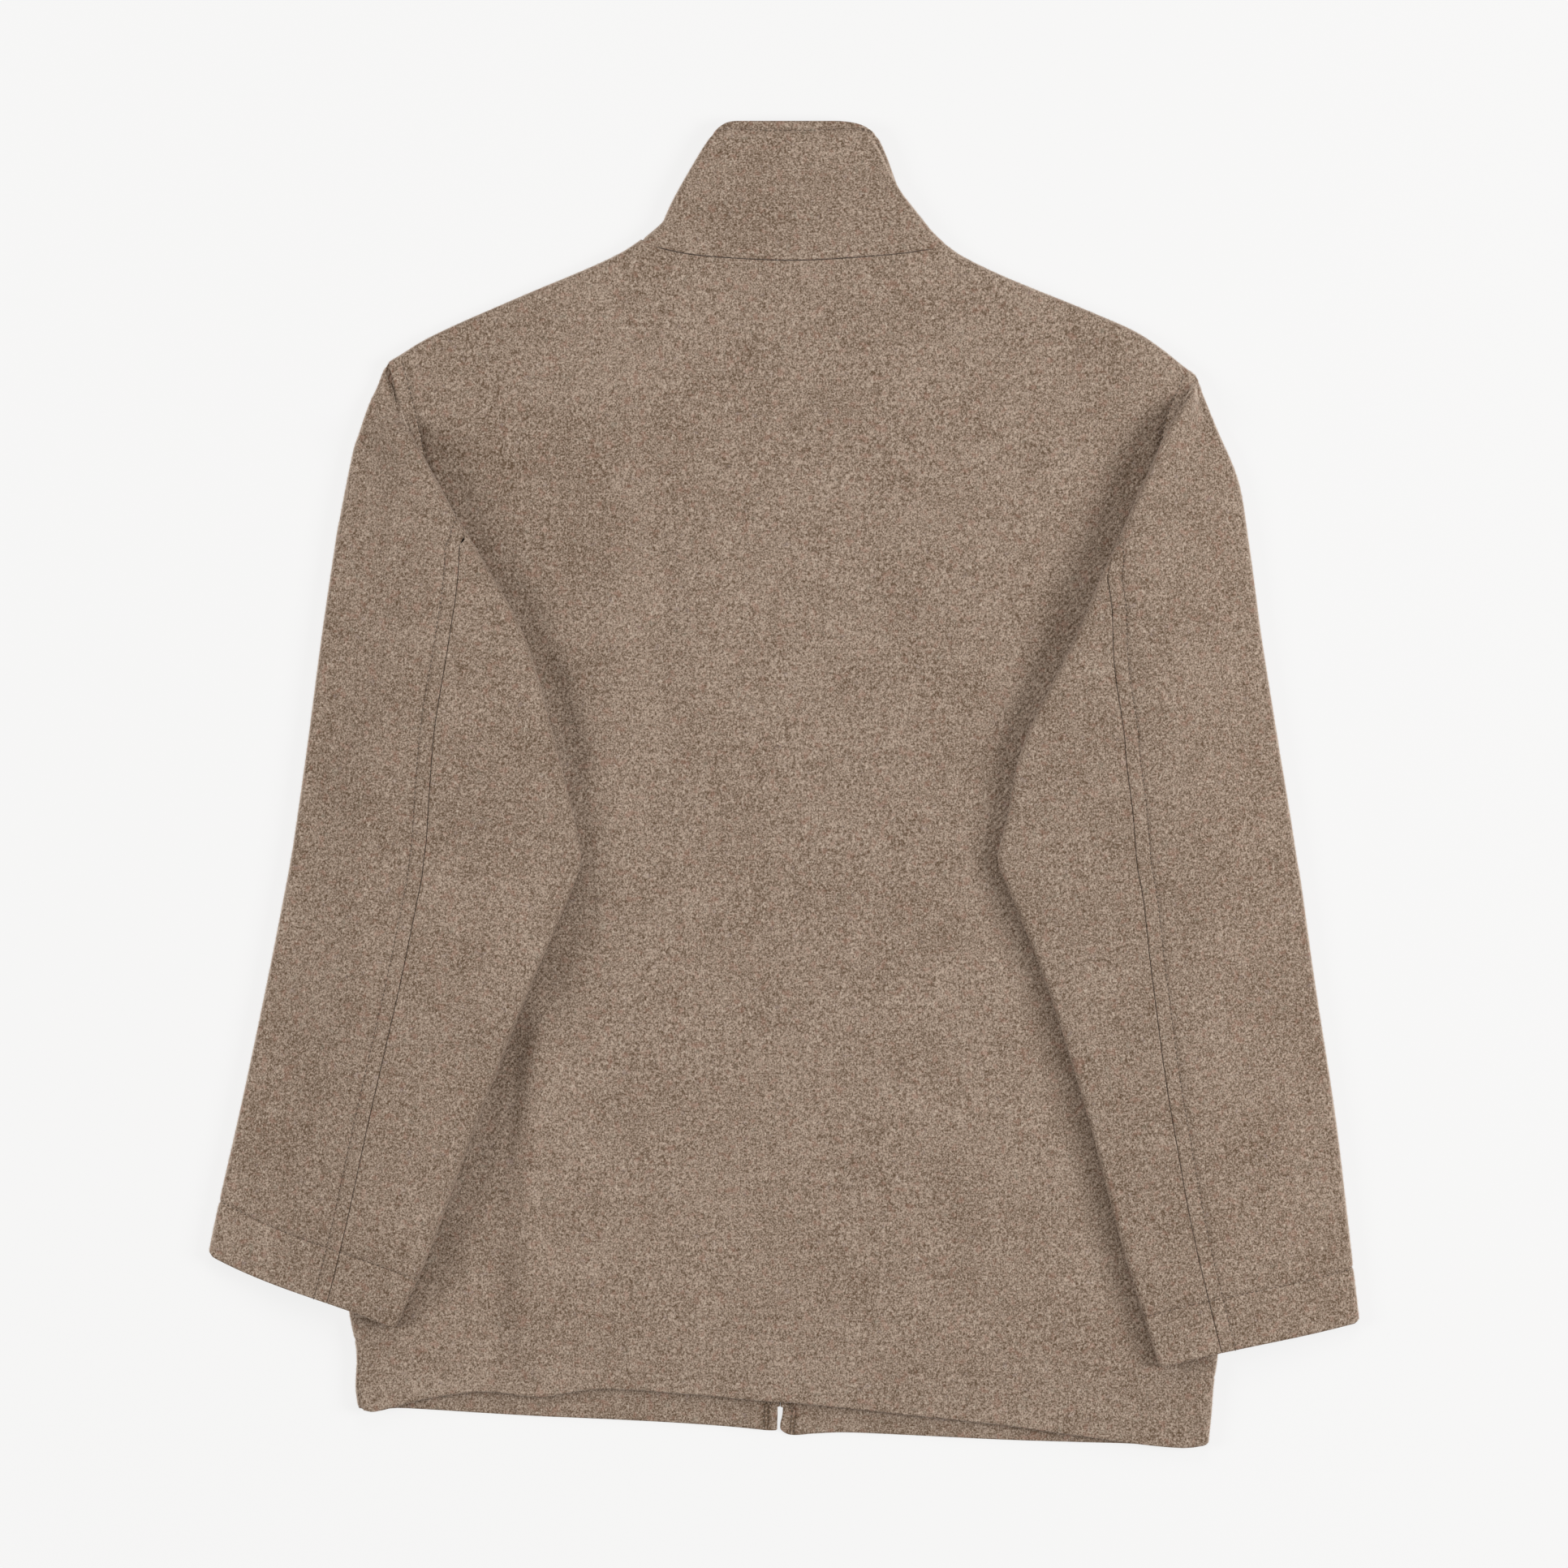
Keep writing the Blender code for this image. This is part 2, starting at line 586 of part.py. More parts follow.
def collar_place(column, row):
    part, where = collar_columns[column]
    level = COLLAR_LEVELS[row]
    left = level.left + SEAM / 2
    right = level.right - SEAM / 2
    half = level.high / 2
    if part == "back":
        at_neck = neck_stations[where]
        share = (at_neck - neck_in[0]) / (neck_in[1] - neck_in[0])
        if at_neck < neck_in[0]:
            inset = at_neck - NECK_LEFT.x
            x = left + inset
        elif at_neck > neck_in[1]:
            inset = NECK_RIGHT.x - at_neck
            x = right - inset
        else:
            x = mix(left + ROLL, right - ROLL, share)
            inset = min(x - left, right - x)
        corner = rolled(ROLL * min(inset / COLLAR_CORNER, 1.0))
        top = mix(COLLAR_BACK_TOP, COLLAR_FOLD_TOP, corner)
        bottom = follow(BACK_NECK, "x", "y", at_neck) + SEAM / 2
        return x, mix(bottom, top, level.share), 2 * half - half * rolled(inset)
    wearer_left = part == "front_left"
    neck = NECK_LEFT if wearer_left else NECK_RIGHT
    middle = FRONT_EDGE_LEFT if wearer_left else FRONT_EDGE_RIGHT
    fold = left if wearer_left else right
    angle = math.radians(where)
    fold_y = mix(neck.y, COLLAR_FOLD_TOP, level.share)
    middle_y = mix(FRONT_NECK_Y + SEAM / 2, COLLAR_FRONT_TOP, level.share)
    x = middle + (fold - middle) * math.sin(angle)
    y = fold_y - (fold_y - middle_y) * math.cos(angle)
    return x, y, half * rolled(abs(x - fold))


cloth("collar", len(collar_columns) - 1, len(COLLAR_LEVELS) - 1, collar_place, COLLAR_CLOTH, WOOL)


# Zip, two tapes on the fronts' inner faces with the closed row of teeth between them
def zip_strip(name, near, far, thick, colour, rough, metal):
    def place(column, row):
        step = ZIP_STEPS[row]
        return ZIP_MIDDLE + (near, far)[column], step.y, step.floor + SEAM + thick

    cloth(name, 1, len(ZIP_STEPS) - 1, place, thick, colour, rough, metal=metal)


zip_strip("zip_tape_left", -TAPE_FAR, -TAPE_NEAR, TAPE_CLOTH, TAPE_COLOUR, WOOL_ROUGH, 0.0)
zip_strip("zip_tape_right", TAPE_NEAR, TAPE_FAR, TAPE_CLOTH, TAPE_COLOUR, WOOL_ROUGH, 0.0)
zip_strip("zip_teeth", -TEETH_HALF, TEETH_HALF, TEETH_THICK, TEETH_COLOUR, TEETH_ROUGH, 1.0)
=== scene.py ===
# %% [markdown]
# # A wool blouson, laid flat with its back up
# This lesson dresses the plain solids of a blouson. The solids already have its true form, so each
# cut piece of cloth is made again as a fine shell on that form. The shells get round edges, seams,
# soft folds and rows of sewing, and then a finish of napped wool with mixed fibres.
# The solids are loaded first, because every size below is in their frame, in metres. Their box is
# kept.

# %% Load the solids
import math
from collections import namedtuple

import bpy
import numpy as np
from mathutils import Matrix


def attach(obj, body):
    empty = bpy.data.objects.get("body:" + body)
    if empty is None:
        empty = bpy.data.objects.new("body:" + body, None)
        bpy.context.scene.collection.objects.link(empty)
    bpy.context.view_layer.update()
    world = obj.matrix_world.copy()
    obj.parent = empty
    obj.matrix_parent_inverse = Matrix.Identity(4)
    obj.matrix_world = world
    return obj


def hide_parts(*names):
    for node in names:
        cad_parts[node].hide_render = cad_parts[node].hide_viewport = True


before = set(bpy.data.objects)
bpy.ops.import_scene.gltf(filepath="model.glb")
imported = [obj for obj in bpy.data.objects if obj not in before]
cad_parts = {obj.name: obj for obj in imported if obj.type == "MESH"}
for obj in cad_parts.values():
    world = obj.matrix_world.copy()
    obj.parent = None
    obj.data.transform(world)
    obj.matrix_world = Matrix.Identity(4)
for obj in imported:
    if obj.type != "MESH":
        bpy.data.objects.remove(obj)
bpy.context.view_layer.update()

print("solids:", ", ".join(sorted(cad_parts)))

# %% [markdown]
# ## Camera
# The blouson lies on its fronts and is seen from straight above. A real product camera hangs a few
# metres up with a long lens, so that a thick fold isn't drawn larger than a thin one. A camera with
# parallel rays would do for this one view, but it would look wrong from the side, so a long lens is
# used here too. The lens follows from the width of floor that the picture covers.

# %% Camera
PICTURE_WIDE = 0.966
CAMERA_HIGH = 5.0
SHARP_LEVEL = 0.006


def shown(name, data):
    """A new object in the scene."""
    made = bpy.data.objects.new(name, data)
    bpy.context.scene.collection.objects.link(made)
    return made


camera_data = bpy.data.cameras.new("camera")
camera_data.lens = camera_data.sensor_width * (CAMERA_HIGH - SHARP_LEVEL) / PICTURE_WIDE
camera = shown("camera", camera_data)
camera.location = (0.0, 0.0, CAMERA_HIGH)
bpy.context.scene.camera = camera
print("lens:", round(camera_data.lens, 1), "mm")

# %% [markdown]
# ## Curves through a few sizes
# A pattern cutter measures a garment at a few levels and joins the marks with a smooth line. The
# same is done here: short tables hold the measured levels, and one function draws a smooth curve
# through them. It works on whole arrays at once, because a fine shell has tens of thousands of points.

# %% Curve helpers
TINY = 1e-12


def mix(a, b, t):
    return a + (b - a) * t


def smooth(t):
    t = np.clip(t, 0.0, 1.0)
    return t * t * (3.0 - 2.0 * t)


def quarter_round(distance, radius):
    """A quarter of a circle, from nothing at an edge up to one at its radius."""
    near = np.clip(1.0 - distance / radius, 0.0, 1.0)
    return np.sqrt(1.0 - near * near)


def through(places, values, slopes, at):
    """A smooth curve through values with chosen slopes at rising places, flat beyond its ends."""
    at = np.clip(at, places[0], places[-1])
    i = np.clip(np.searchsorted(places, at, side="right") - 1, 0, len(places) - 2)
    span = places[i + 1] - places[i]
    t = (at - places[i]) / span
    rise = values[i + 1] - values[i]
    bend = (slopes[i] * span - rise) * (1.0 - t) - (slopes[i + 1] * span - rise) * t
    return values[i] + rise * t + t * (1.0 - t) * bend


def curve(places, values, at):
    """A smooth curve through values, as a bent ruler would draw it."""
    places = np.asarray(places, float)
    values = np.asarray(values, float)
    rise = np.diff(values) / np.diff(places)
    inner = (values[2:] - values[:-2]) / (places[2:] - places[:-2])
    slopes = np.concatenate([[rise[0]], inner, [rise[-1]]])
    return through(places, values, slopes, at)


def steady(places, values, at):
    """A smooth curve through values which never swings past them."""
    rise = np.diff(values) / np.diff(places)
    product = rise[1:] * rise[:-1]
    inner = np.where(product > 0.0, 2.0 * product / (rise[1:] + rise[:-1] + TINY), 0.0)
    slopes = np.concatenate([[rise[0]], inner, [rise[-1]]])
    return through(places, values, slopes, at)


def follow(rows, key, wanted, at):
    """A smooth value of one column of a table at a place along another column."""
    places = [getattr(row, key) for row in rows]
    values = [getattr(row, wanted) for row in rows]
    return curve(places, values, at)


print("halfway between 0 and 1:", float(curve([0, 1], [0, 1], 0.5)))

# %% [markdown]
# ## The laid body
# The body is two layers of cloth, the fronts below and the back above, which turn into each other
# at the side and shoulder seams. The tables give its plan outline, its hems and its soft folds. The
# folds are troughs and ridges along straight lines, placed where the real cloth dips or swells. A
# cloth simulation would give folds too, but not these ones.

# %% Sizes of the body
CLOTH = 0.0028
SEAM = 0.0003
REST = 0.0008
LAID_HIGH = 0.0094
ARMHOLE_HIGH = 0.0067
ARMHOLE_IN = 0.055
UNDERARM_Y = 0.0
UNDERARM_BLEND = 0.030
TIP_Y = 0.200
ROLL = 0.0034
SETTLE_IN = 4 * ROLL
FRONT_NECK_Y = 0.2580
FRONT_EDGE_LEFT = -0.0042
FRONT_EDGE_RIGHT = -0.0024

Edge = namedtuple("Edge", "y left right")
BODY_EDGE = [
    Edge(-0.4120, -0.2600, 0.2610),
    Edge(-0.3860, -0.2622, 0.2636),
    Edge(-0.3720, -0.2640, 0.2646),
    Edge(-0.3500, -0.2634, 0.2675),
    Edge(-0.3230, -0.2682, 0.2690),
    Edge(-0.2500, -0.2715, 0.2705),
    Edge(-0.1000, -0.2735, 0.2730),
    Edge(0.0000, -0.2740, 0.2745),
    Edge(0.0200, -0.2620, 0.2640),
    Edge(0.0450, -0.2480, 0.2540),
    Edge(0.0800, -0.2370, 0.2460),
    Edge(0.1200, -0.2295, 0.2410),
    Edge(0.1600, -0.2270, 0.2390),
    Edge(0.1950, -0.2290, 0.2395),
    Edge(0.2250, -0.2348, 0.2440),
    Edge(0.2500, -0.2411, 0.2538),
    Edge(0.2600, -0.2438, 0.2541),
]
Mark = namedtuple("Mark", "x y")
SHOULDER_LEFT = [
    Mark(-0.2438, 0.2600),
    Mark(-0.2180, 0.2755),
    Mark(-0.1680, 0.2980),
    Mark(-0.1180, 0.3190),
    Mark(-0.0990, 0.3282),
    Mark(-0.0880, 0.3355),
]
SHOULDER_RIGHT = [
    Mark(0.1000, 0.3322),
    Mark(0.1085, 0.3260),
    Mark(0.1350, 0.3130),
    Mark(0.1960, 0.2880),
    Mark(0.2220, 0.2755),
    Mark(0.2545, 0.2510),
]
NECK_LEFT = SHOULDER_LEFT[-1]
NECK_RIGHT = SHOULDER_RIGHT[0]
BACK_NECK = [
    NECK_LEFT,
    Mark(-0.0780, 0.3305),
    Mark(-0.0525, 0.3255),
    Mark(-0.0080, 0.3227),
    Mark(0.0164, 0.3227),
    Mark(0.0654, 0.3260),
    Mark(0.0910, 0.3295),
    NECK_RIGHT,
]
Hem = namedtuple("Hem", "x back front")
HEM = [
    Hem(-0.2640, -0.3840, -0.3840),
    Hem(-0.2540, -0.3868, -0.3868),
    Hem(-0.2420, -0.3845, -0.3848),
    Hem(-0.2188, -0.3788, -0.3857),
    Hem(-0.1840, -0.3745, -0.3879),
    Hem(-0.1490, -0.3779, -0.3899),
    Hem(-0.1260, -0.3742, -0.3909),
    Hem(-0.1030, -0.3730, -0.3919),
    Hem(-0.0535, -0.3765, -0.3947),
    Hem(-0.0136, -0.3803, -0.3982),
    Hem(0.0056, -0.3815, -0.4014),
    Hem(0.0173, -0.3826, -0.4006),
    Hem(0.0370, -0.3846, -0.3998),
    Hem(0.0759, -0.3888, -0.4014),
    Hem(0.1335, -0.3950, -0.4042),
    Hem(0.1833, -0.4019, -0.4058),
    Hem(0.2165, -0.4063, -0.4068),
    Hem(0.2490, -0.4092, -0.4093),
    Hem(0.2610, -0.4075, -0.4075),
]
Fold = namedtuple("Fold", "x0 y0 x1 y1 rise width")
BACK_FOLDS = [
    Fold(-0.149, -0.140, -0.162, -0.372, 0.0046, 0.010),
    Fold(-0.172, -0.160, -0.182, -0.372, -0.0030, 0.010),
    Fold(-0.103, 0.150, -0.106, 0.060, 0.0034, 0.012),
    Fold(-0.076, 0.150, -0.077, 0.040, -0.0024, 0.012),
    Fold(-0.048, 0.150, -0.050, 0.020, 0.0014, 0.014),
    Fold(-0.175, 0.300, -0.165, 0.120, -0.0024, 0.050),
    Fold(0.100, -0.200, 0.150, -0.330, 0.0008, 0.030),
    Fold(-0.030, -0.180, -0.010, -0.330, 0.0007, 0.030),
]
BESIDE_SLEEVES = [
    Fold(0.236, 0.236, 0.194, 0.150, -0.0022, 0.016),
    Fold(0.190, 0.140, 0.140, 0.020, -0.0018, 0.016),
    Fold(0.124, -0.060, 0.215, -0.345, -0.0014, 0.010),
    Fold(-0.232, 0.236, -0.198, 0.180, -0.0034, 0.016),
    Fold(-0.196, 0.170, -0.150, 0.090, -0.0024, 0.018),
    Fold(-0.148, 0.080, -0.128, 0.006, -0.0040, 0.012),
    Fold(-0.118, -0.070, -0.218, -0.320, -0.0030, 0.016),
]
HEM_LEVEL = -0.385
CORNER_HIGH = {"left": 0.0015, "right": 0.0012}
CORNER_WIDE = {"left": 0.0036, "right": 0.0030}
HEM_HIGH = 0.0074
HEM_SETTLE = 0.045

# %% Form of the body
SWELLS = 14
SWELL_HIGH = 0.00022
SWELL_SHORT = 0.03
SWELL_LONG = 0.09
SWELL_SEED = 5


def folds_at(folds, x, y):
    """Height that a table of troughs and ridges adds at points of the plan."""
    total = np.zeros(np.broadcast(x, y).shape)
    for fold in folds:
        dx = fold.x1 - fold.x0
        dy = fold.y1 - fold.y0
        length = math.hypot(dx, dy)
        along = ((x - fold.x0) * dx + (y - fold.y0) * dy) / length
        off = ((x - fold.x0) * dy - (y - fold.y0) * dx) / length
        ends = smooth((along + fold.width) / (2 * fold.width))
        ends = ends * smooth((length + fold.width - along) / (2 * fold.width))
        total = total + fold.rise * ends * np.exp(-((off / fold.width) ** 2))
    return total


def swells_at(x, y):
    """Slight unevenness of laid cloth, as waves of 30 to 90 mm in many directions."""
    draw = np.random.default_rng(SWELL_SEED)
    total = np.zeros(np.broadcast(x, y).shape)
    for _ in range(SWELLS):
        angle = draw.uniform(0.0, 2.0 * math.pi)
        length = draw.uniform(SWELL_SHORT, SWELL_LONG)
        phase = draw.uniform(0.0, 2.0 * math.pi)
        ahead = x * math.cos(angle) + y * math.sin(angle)
        total = total + np.sin(2.0 * math.pi * ahead / length + phase)
    return SWELL_HIGH * total / math.sqrt(SWELLS)


def edge_left(y):
    return follow(BODY_EDGE, "y", "left", y)


def edge_right(y):
    return follow(BODY_EDGE, "y", "right", y)


def inset_at(x, y):
    """Distance from the nearer side of the body."""
    return np.minimum(x - edge_left(y), edge_right(y) - x)


def back_high(x, y):
    """Height of the back's upper face, without the rolled edges."""
    high = LAID_HIGH + folds_at(BACK_FOLDS, x, y) + swells_at(x, y)
    above = smooth((y - UNDERARM_Y + UNDERARM_BLEND) / (2 * UNDERARM_BLEND))
    above = above * (1.0 - smooth((y - TIP_Y) / UNDERARM_BLEND))
    low = mix(ARMHOLE_HIGH, high, smooth(inset_at(x, y) / ARMHOLE_IN))
    return mix(high, low, above)


def settled(high, x, y, above_hem):
    """The back's height beside the sleeves and toward its hem, where it lies down on the fronts."""
    high = high + folds_at(BESIDE_SLEEVES, x, y)
    down = (1.0 - smooth(above_hem / HEM_SETTLE)) * smooth(inset_at(x, y) / SETTLE_IN)
    return np.maximum(mix(high, HEM_HIGH, down), 2 * CLOTH + SEAM)


def side_roll(y):
    """One along the side seams, nothing along the armholes."""
    return 1.0 - smooth((y - UNDERARM_Y + UNDERARM_BLEND) / UNDERARM_BLEND)


def rolled(inset):
    """Share of the way down from a face to its seam, at an inset from a fold."""
    return 1.0 - quarter_round(inset, ROLL)


def shoulder_roll(x):
    """One along the shoulders, falling to nothing inside the neck's corners."""
    inside = np.minimum(x - NECK_LEFT.x, NECK_RIGHT.x - x)
    return np.where(inside <= 0.0, 1.0, rolled(inside))


def shoulder_y(x):
    left = follow(SHOULDER_LEFT, "x", "y", x)
    right = follow(SHOULDER_RIGHT, "x", "y", x)
    return np.where(x <= NECK_LEFT.x, left, right)


def body_height(x, y, at_top, above_hem, side_inset, top_inset):
    """Half of the laid height, and the share of it that a panel has turned toward its seams."""
    beside = side_roll(y) * rolled(side_inset)
    above = shoulder_roll(at_top) * rolled(top_inset)
    high = settled(back_high(x, y), x, y, above_hem)
    return high / 2, 1.0 - (1.0 - beside) * (1.0 - above)


left_top = float(edge_left(SHOULDER_LEFT[0].y))
right_top = float(edge_right(SHOULDER_RIGHT[-1].y))
Side = namedtuple("Side", "name sign edge top neck middle")
LEFT = Side("left", -1, edge_left, left_top, NECK_LEFT, FRONT_EDGE_LEFT)
RIGHT = Side("right", 1, edge_right, right_top, NECK_RIGHT, FRONT_EDGE_RIGHT)
print("shoulder to shoulder:", round(right_top - left_top, 3), "m")

# %% [markdown]
# ## From a grid of points to a piece of cloth
# Each piece is a grid of points on the cloth's outer face. Solidify could give it a thickness, but
# it leaves sharp rims, and thick wool has round ones. So the two faces are drawn from the middle of
# the cloth, a half thickness up and down, and that half thickness runs out to nothing in a quarter
# round at every edge. Along a row of sewing both faces are pinched together a little.
# Each point keeps its place on the uncut cloth, turned to the grain, for the wool's pattern. It also
# keeps a painted shading there, painted shade and painted highlight that the wool's colour takes, and
# whether loose fibres show. They show where the cloth turns away near the floor, at the garment's
# outline and its hems, and a painted rim light makes the cloth palest there.

# %% Shell maker
Rim = namedtuple("Rim", "radius least")
Made = namedtuple("Made", "piece outer inner normal cut area")
SEAM_RIM = Rim(0.0010, 0.50)
HEM_RIM = Rim(0.0014, 0.0)
COLLAR_RIM = Rim(0.0018, 0.0)
CLOTH_PIECES = []
CUT_APART = 0.731
FUZZ_TURN = 0.75
FUZZ_LOW = 0.0013
FUZZ_HIGH = 0.0130
# painted rim light: cloth turned away near the floor is painted paler, as if lit at its outline
PAINTED_RIM_LIGHT = 0.55
PAINTED_RIM_LIGHT_FROM = 0.75


def lengths(grid, axis):
    """Length along the grid's lines from their first point."""
    steps = np.linalg.norm(np.diff(grid, axis=axis), axis=2)
    total = np.cumsum(steps, axis=axis)
    return np.concatenate([np.zeros_like(np.take(total, [0], axis=axis)), total], axis=axis)


def edge_share(distance, rim):
    """Share of the thickness left near an edge, which closes on the edge itself."""
    share = mix(rim.least, 1.0, quarter_round(distance, rim.radius))
    return np.where(distance > 0.0, share, 0.0)


def outward(grid, flip):
    """Unit normals of a grid, by the directions across and along it."""
    across = np.gradient(grid, axis=1)
    along = np.gradient(grid, axis=0)
    normal = np.cross(across, along)
    normal = normal / np.maximum(np.linalg.norm(normal, axis=2, keepdims=True), TINY)
    return -normal if flip else normal


def wall_faces(rows, columns, flip):
    """Faces of both sides of a piece of cloth, which share the points of its rim."""
    number = np.arange(rows * columns).reshape(rows, columns)
    inside = number.copy()
    inner_count = (rows - 2) * (columns - 2)
    inside[1:-1, 1:-1] = rows * columns + np.arange(inner_count).reshape(rows - 2, columns - 2)
    faces = []
    for table, turn in ((number, flip), (inside, not flip)):
        quad = [table[:-1, :-1], table[:-1, 1:], table[1:, 1:], table[1:, :-1]]
        if turn:
            quad.reverse()
        faces.append(np.stack(quad, axis=-1).reshape(-1, 4))
    return np.concatenate(faces)


def new_mesh(name, points, edges, faces):
    mesh = bpy.data.meshes.new(name)
    mesh.from_pydata(points, edges, faces)
    return mesh


def keep(mesh, name, values):
    """Store a number or a direction at each point of a mesh."""
    kind, key = ("FLOAT", "value") if values.ndim == 1 else ("FLOAT_VECTOR", "vector")
    mesh.attributes.new(name, kind, "POINT").data.foreach_set(key, values.ravel())


def shell(name, grid, thick, rims, flip=False, pinch=0.0, grain=0.0, nap=0.0):
    """A closed piece of cloth from a grid of points on its outer face.

    rims are the edges at the first and last column and the first and last row."""
    rows, columns = grid.shape[:2]
    normal = outward(grid, flip)
    across = lengths(grid, 1)
    along = lengths(grid, 0)
    half = thick / 2.0 - pinch
    half = half * edge_share(across, rims[0]) * edge_share(across[:, -1:] - across, rims[1])
    half = half * edge_share(along, rims[2]) * edge_share(along[-1:] - along, rims[3])
    half = half[..., None]
    middle = grid - normal * (np.broadcast_to(thick, (rows, columns)) / 2.0)[..., None]
    outer = middle + normal * half
    inner = middle - normal * half
    points = np.concatenate([outer.reshape(-1, 3), inner[1:-1, 1:-1].reshape(-1, 3)])
    faces = wall_faces(rows, columns, flip)
    mesh = new_mesh(name, points.tolist(), [], faces.tolist())
    mesh.shade_smooth()

    cosine = math.cos(grain)
    sine = math.sin(grain)
    apart = CUT_APART * (1 + len(CLOTH_PIECES))
    turned = np.stack([
        points[:, 0] * cosine + points[:, 1] * sine + apart,
        points[:, 1] * cosine - points[:, 0] * sine,
        points[:, 2],
    ], axis=1)
    keep(mesh, "cut", turned)
    turned_away = (normal[..., 2] < FUZZ_TURN) & (normal[..., 2] > -FUZZ_TURN / 2)
    turned_away = turned_away & (outer[..., 2] > FUZZ_LOW) & (outer[..., 2] < FUZZ_HIGH)
    # painted shading given for the piece: painted shade and painted highlight added to the wool's tone
    given_painted_shading = np.broadcast_to(nap, (rows, columns))
    # pale is the painted rim light on cloth turned away near the floor
    pale = PAINTED_RIM_LIGHT * turned_away * smooth(1.0 - normal[..., 2] / PAINTED_RIM_LIGHT_FROM)
    keep(mesh, "nap", np.concatenate([(given_painted_shading + pale).ravel(), given_painted_shading[1:-1, 1:-1].ravel()]))
    keep(mesh, "fuzz", np.concatenate([turned_away.ravel(), np.zeros((rows - 2) * (columns - 2))]))
    piece = shown(name, mesh)
    CLOTH_PIECES.append(piece)
    quads = np.cross(grid[1:, 1:] - grid[:-1, :-1], grid[1:, :-1] - grid[:-1, 1:])
    area = float(np.linalg.norm(quads, axis=2).sum() / 2.0)
    cut = (float(across[:, -1].max()), float(along[-1].max()))
    print(name, "triangles:", 2 * len(faces), "cut:", [round(x, 3) for x in cut], "area:", round(area, 4))
    return Made(piece, outer, inner, normal, cut, area)


def groove(distance, width):
    """One at the bottom of a narrow groove, nothing beyond it."""
    return np.exp(-((distance / width) ** 2))


kept_share = round(float(quarter_round(0.5, 1.0)), 2)
print("an edge of cloth at half its radius keeps", kept_share, "of its thickness")

# %% [markdown]
# ## Back
# The back is cut in one piece, from side seam to side seam and from the hem to the neck seam. Its
# columns stand along the shoulder line and its rows rise from the hem. Both are drawn close together
# at the edges and at the rows of sewing, where the form is fine, and are a few millimetres apart
# elsewhere. That is cheaper than a fine grid all over.

# %% Back
ROLL_ANGLES = (0.0, 0.02, 0.06, 0.12, 0.19, 0.28, 0.38, 0.50, 0.62, 0.76, 0.92, 1.10, 1.32, math.pi / 2)
ROLL_INSETS = ROLL * (1.0 - np.cos(ROLL_ANGLES))
HEM_LINE = 0.0410
ARMHOLE_LINE = 0.0086
LINE_STEPS = np.array([-0.0012, -0.0006, 0.0, 0.0006, 0.0012])
LINE_CLEAR = 2.5 * LINE_STEPS[-1]
RIM_STEPS = [0.0, 0.0001, 0.0003, 0.0006, 0.0010]
TO_SLIT_END = [0.0014, 0.0025, 0.005, 0.009, 0.0125, 0.0157, 0.0162, 0.0167]
TO_HEM_LINE = [0.020, 0.0255, 0.027, 0.034, 0.0386]
HEM_STEPS = np.concatenate([RIM_STEPS, TO_SLIT_END, TO_HEM_LINE, HEM_LINE + LINE_STEPS, [0.0440, 0.048]])
STITCH_WIDE = 0.0010
STITCH_DEEP = 0.0010
HEM_STITCH_DEEP = 0.0005
SEAM_SHOWN_Y = -0.335
SEAM_SHOWN_IN = 0.0019
SEAM_SHOWN_WIDE = 0.0006
SEAM_SHOWN_DEEP = 0.0013
# painted shade: patches of the back painted darker where it lies in shade
Patch = namedtuple("Patch", "x y wide long shade")
PAINTED_SHADE_PATCHES = [
    Patch(-0.170, 0.190, 0.060, 0.080, -0.050),
    Patch(-0.115, 0.108, 0.024, 0.050, -0.022),
    Patch(0.160, 0.120, 0.030, 0.070, -0.022),
    Patch(0.205, -0.352, 0.032, 0.026, -0.030),
    Patch(-0.178, -0.330, 0.024, 0.060, -0.026),
]
BACK_EVEN_ROWS = 165
SIDE_COLUMNS = 40
NECK_COLUMNS = 56


def eased(low, high, count):
    """Stations from low to high, drawn together near both ends."""
    even = np.linspace(low + ROLL, high - ROLL, count)[1:-1]
    return np.concatenate([low + ROLL_INSETS, even, high - ROLL_INSETS[::-1]])


def with_line(stations, place):
    """Stations with a close group round a row of sewing."""
    kept = stations[np.abs(stations - place) > LINE_CLEAR]
    return np.sort(np.concatenate([kept, place + LINE_STEPS]))


def rows_up(bottom, top, even_rows):
    """Heights of a panel's rows: close at the hem, even, then close in the roll at the top."""
    first = bottom + HEM_STEPS[:, None]
    t = np.linspace(0.0, 1.0, even_rows)[1:-1, None]
    even = mix(bottom + HEM_STEPS[-1], top - ROLL, t)
    last = top - ROLL_INSETS[::-1][:, None]
    return np.concatenate([first, even, last])


def side_corner(inset, side_name):
    """How far the hem's round corner lifts it, by the distance from the side."""
    return CORNER_HIGH[side_name] * np.clip(1.0 - inset / CORNER_WIDE[side_name], 0.0, 1.0) ** 2


def relaid(at, first, last, low, high):
    """Stations between first and last laid out between low and high, with rolled edges as wide as before.

    Gives their places and their distances from the nearer end."""
    from_first = at - first
    from_last = last - at
    share = (from_first - ROLL) / (last - first - 2 * ROLL)
    x = mix(low + ROLL, high - ROLL, share)
    x = np.where(from_first < ROLL, low + from_first, x)
    x = np.where(from_last < ROLL, high - from_last, x)
    return x, np.minimum(x - low, high - x)


def back_x(at_top, y):
    """Where a column of the back is at a height, and its distance from the nearer side."""
    return relaid(at_top, left_top, right_top, edge_left(y), edge_right(y))


stations = np.concatenate([
    with_line(eased(left_top, NECK_LEFT.x, SIDE_COLUMNS), left_top + ARMHOLE_LINE),
    eased(NECK_LEFT.x, NECK_RIGHT.x, NECK_COLUMNS)[1:],
    with_line(eased(NECK_RIGHT.x, right_top, SIDE_COLUMNS)[1:], right_top - ARMHOLE_LINE),
])


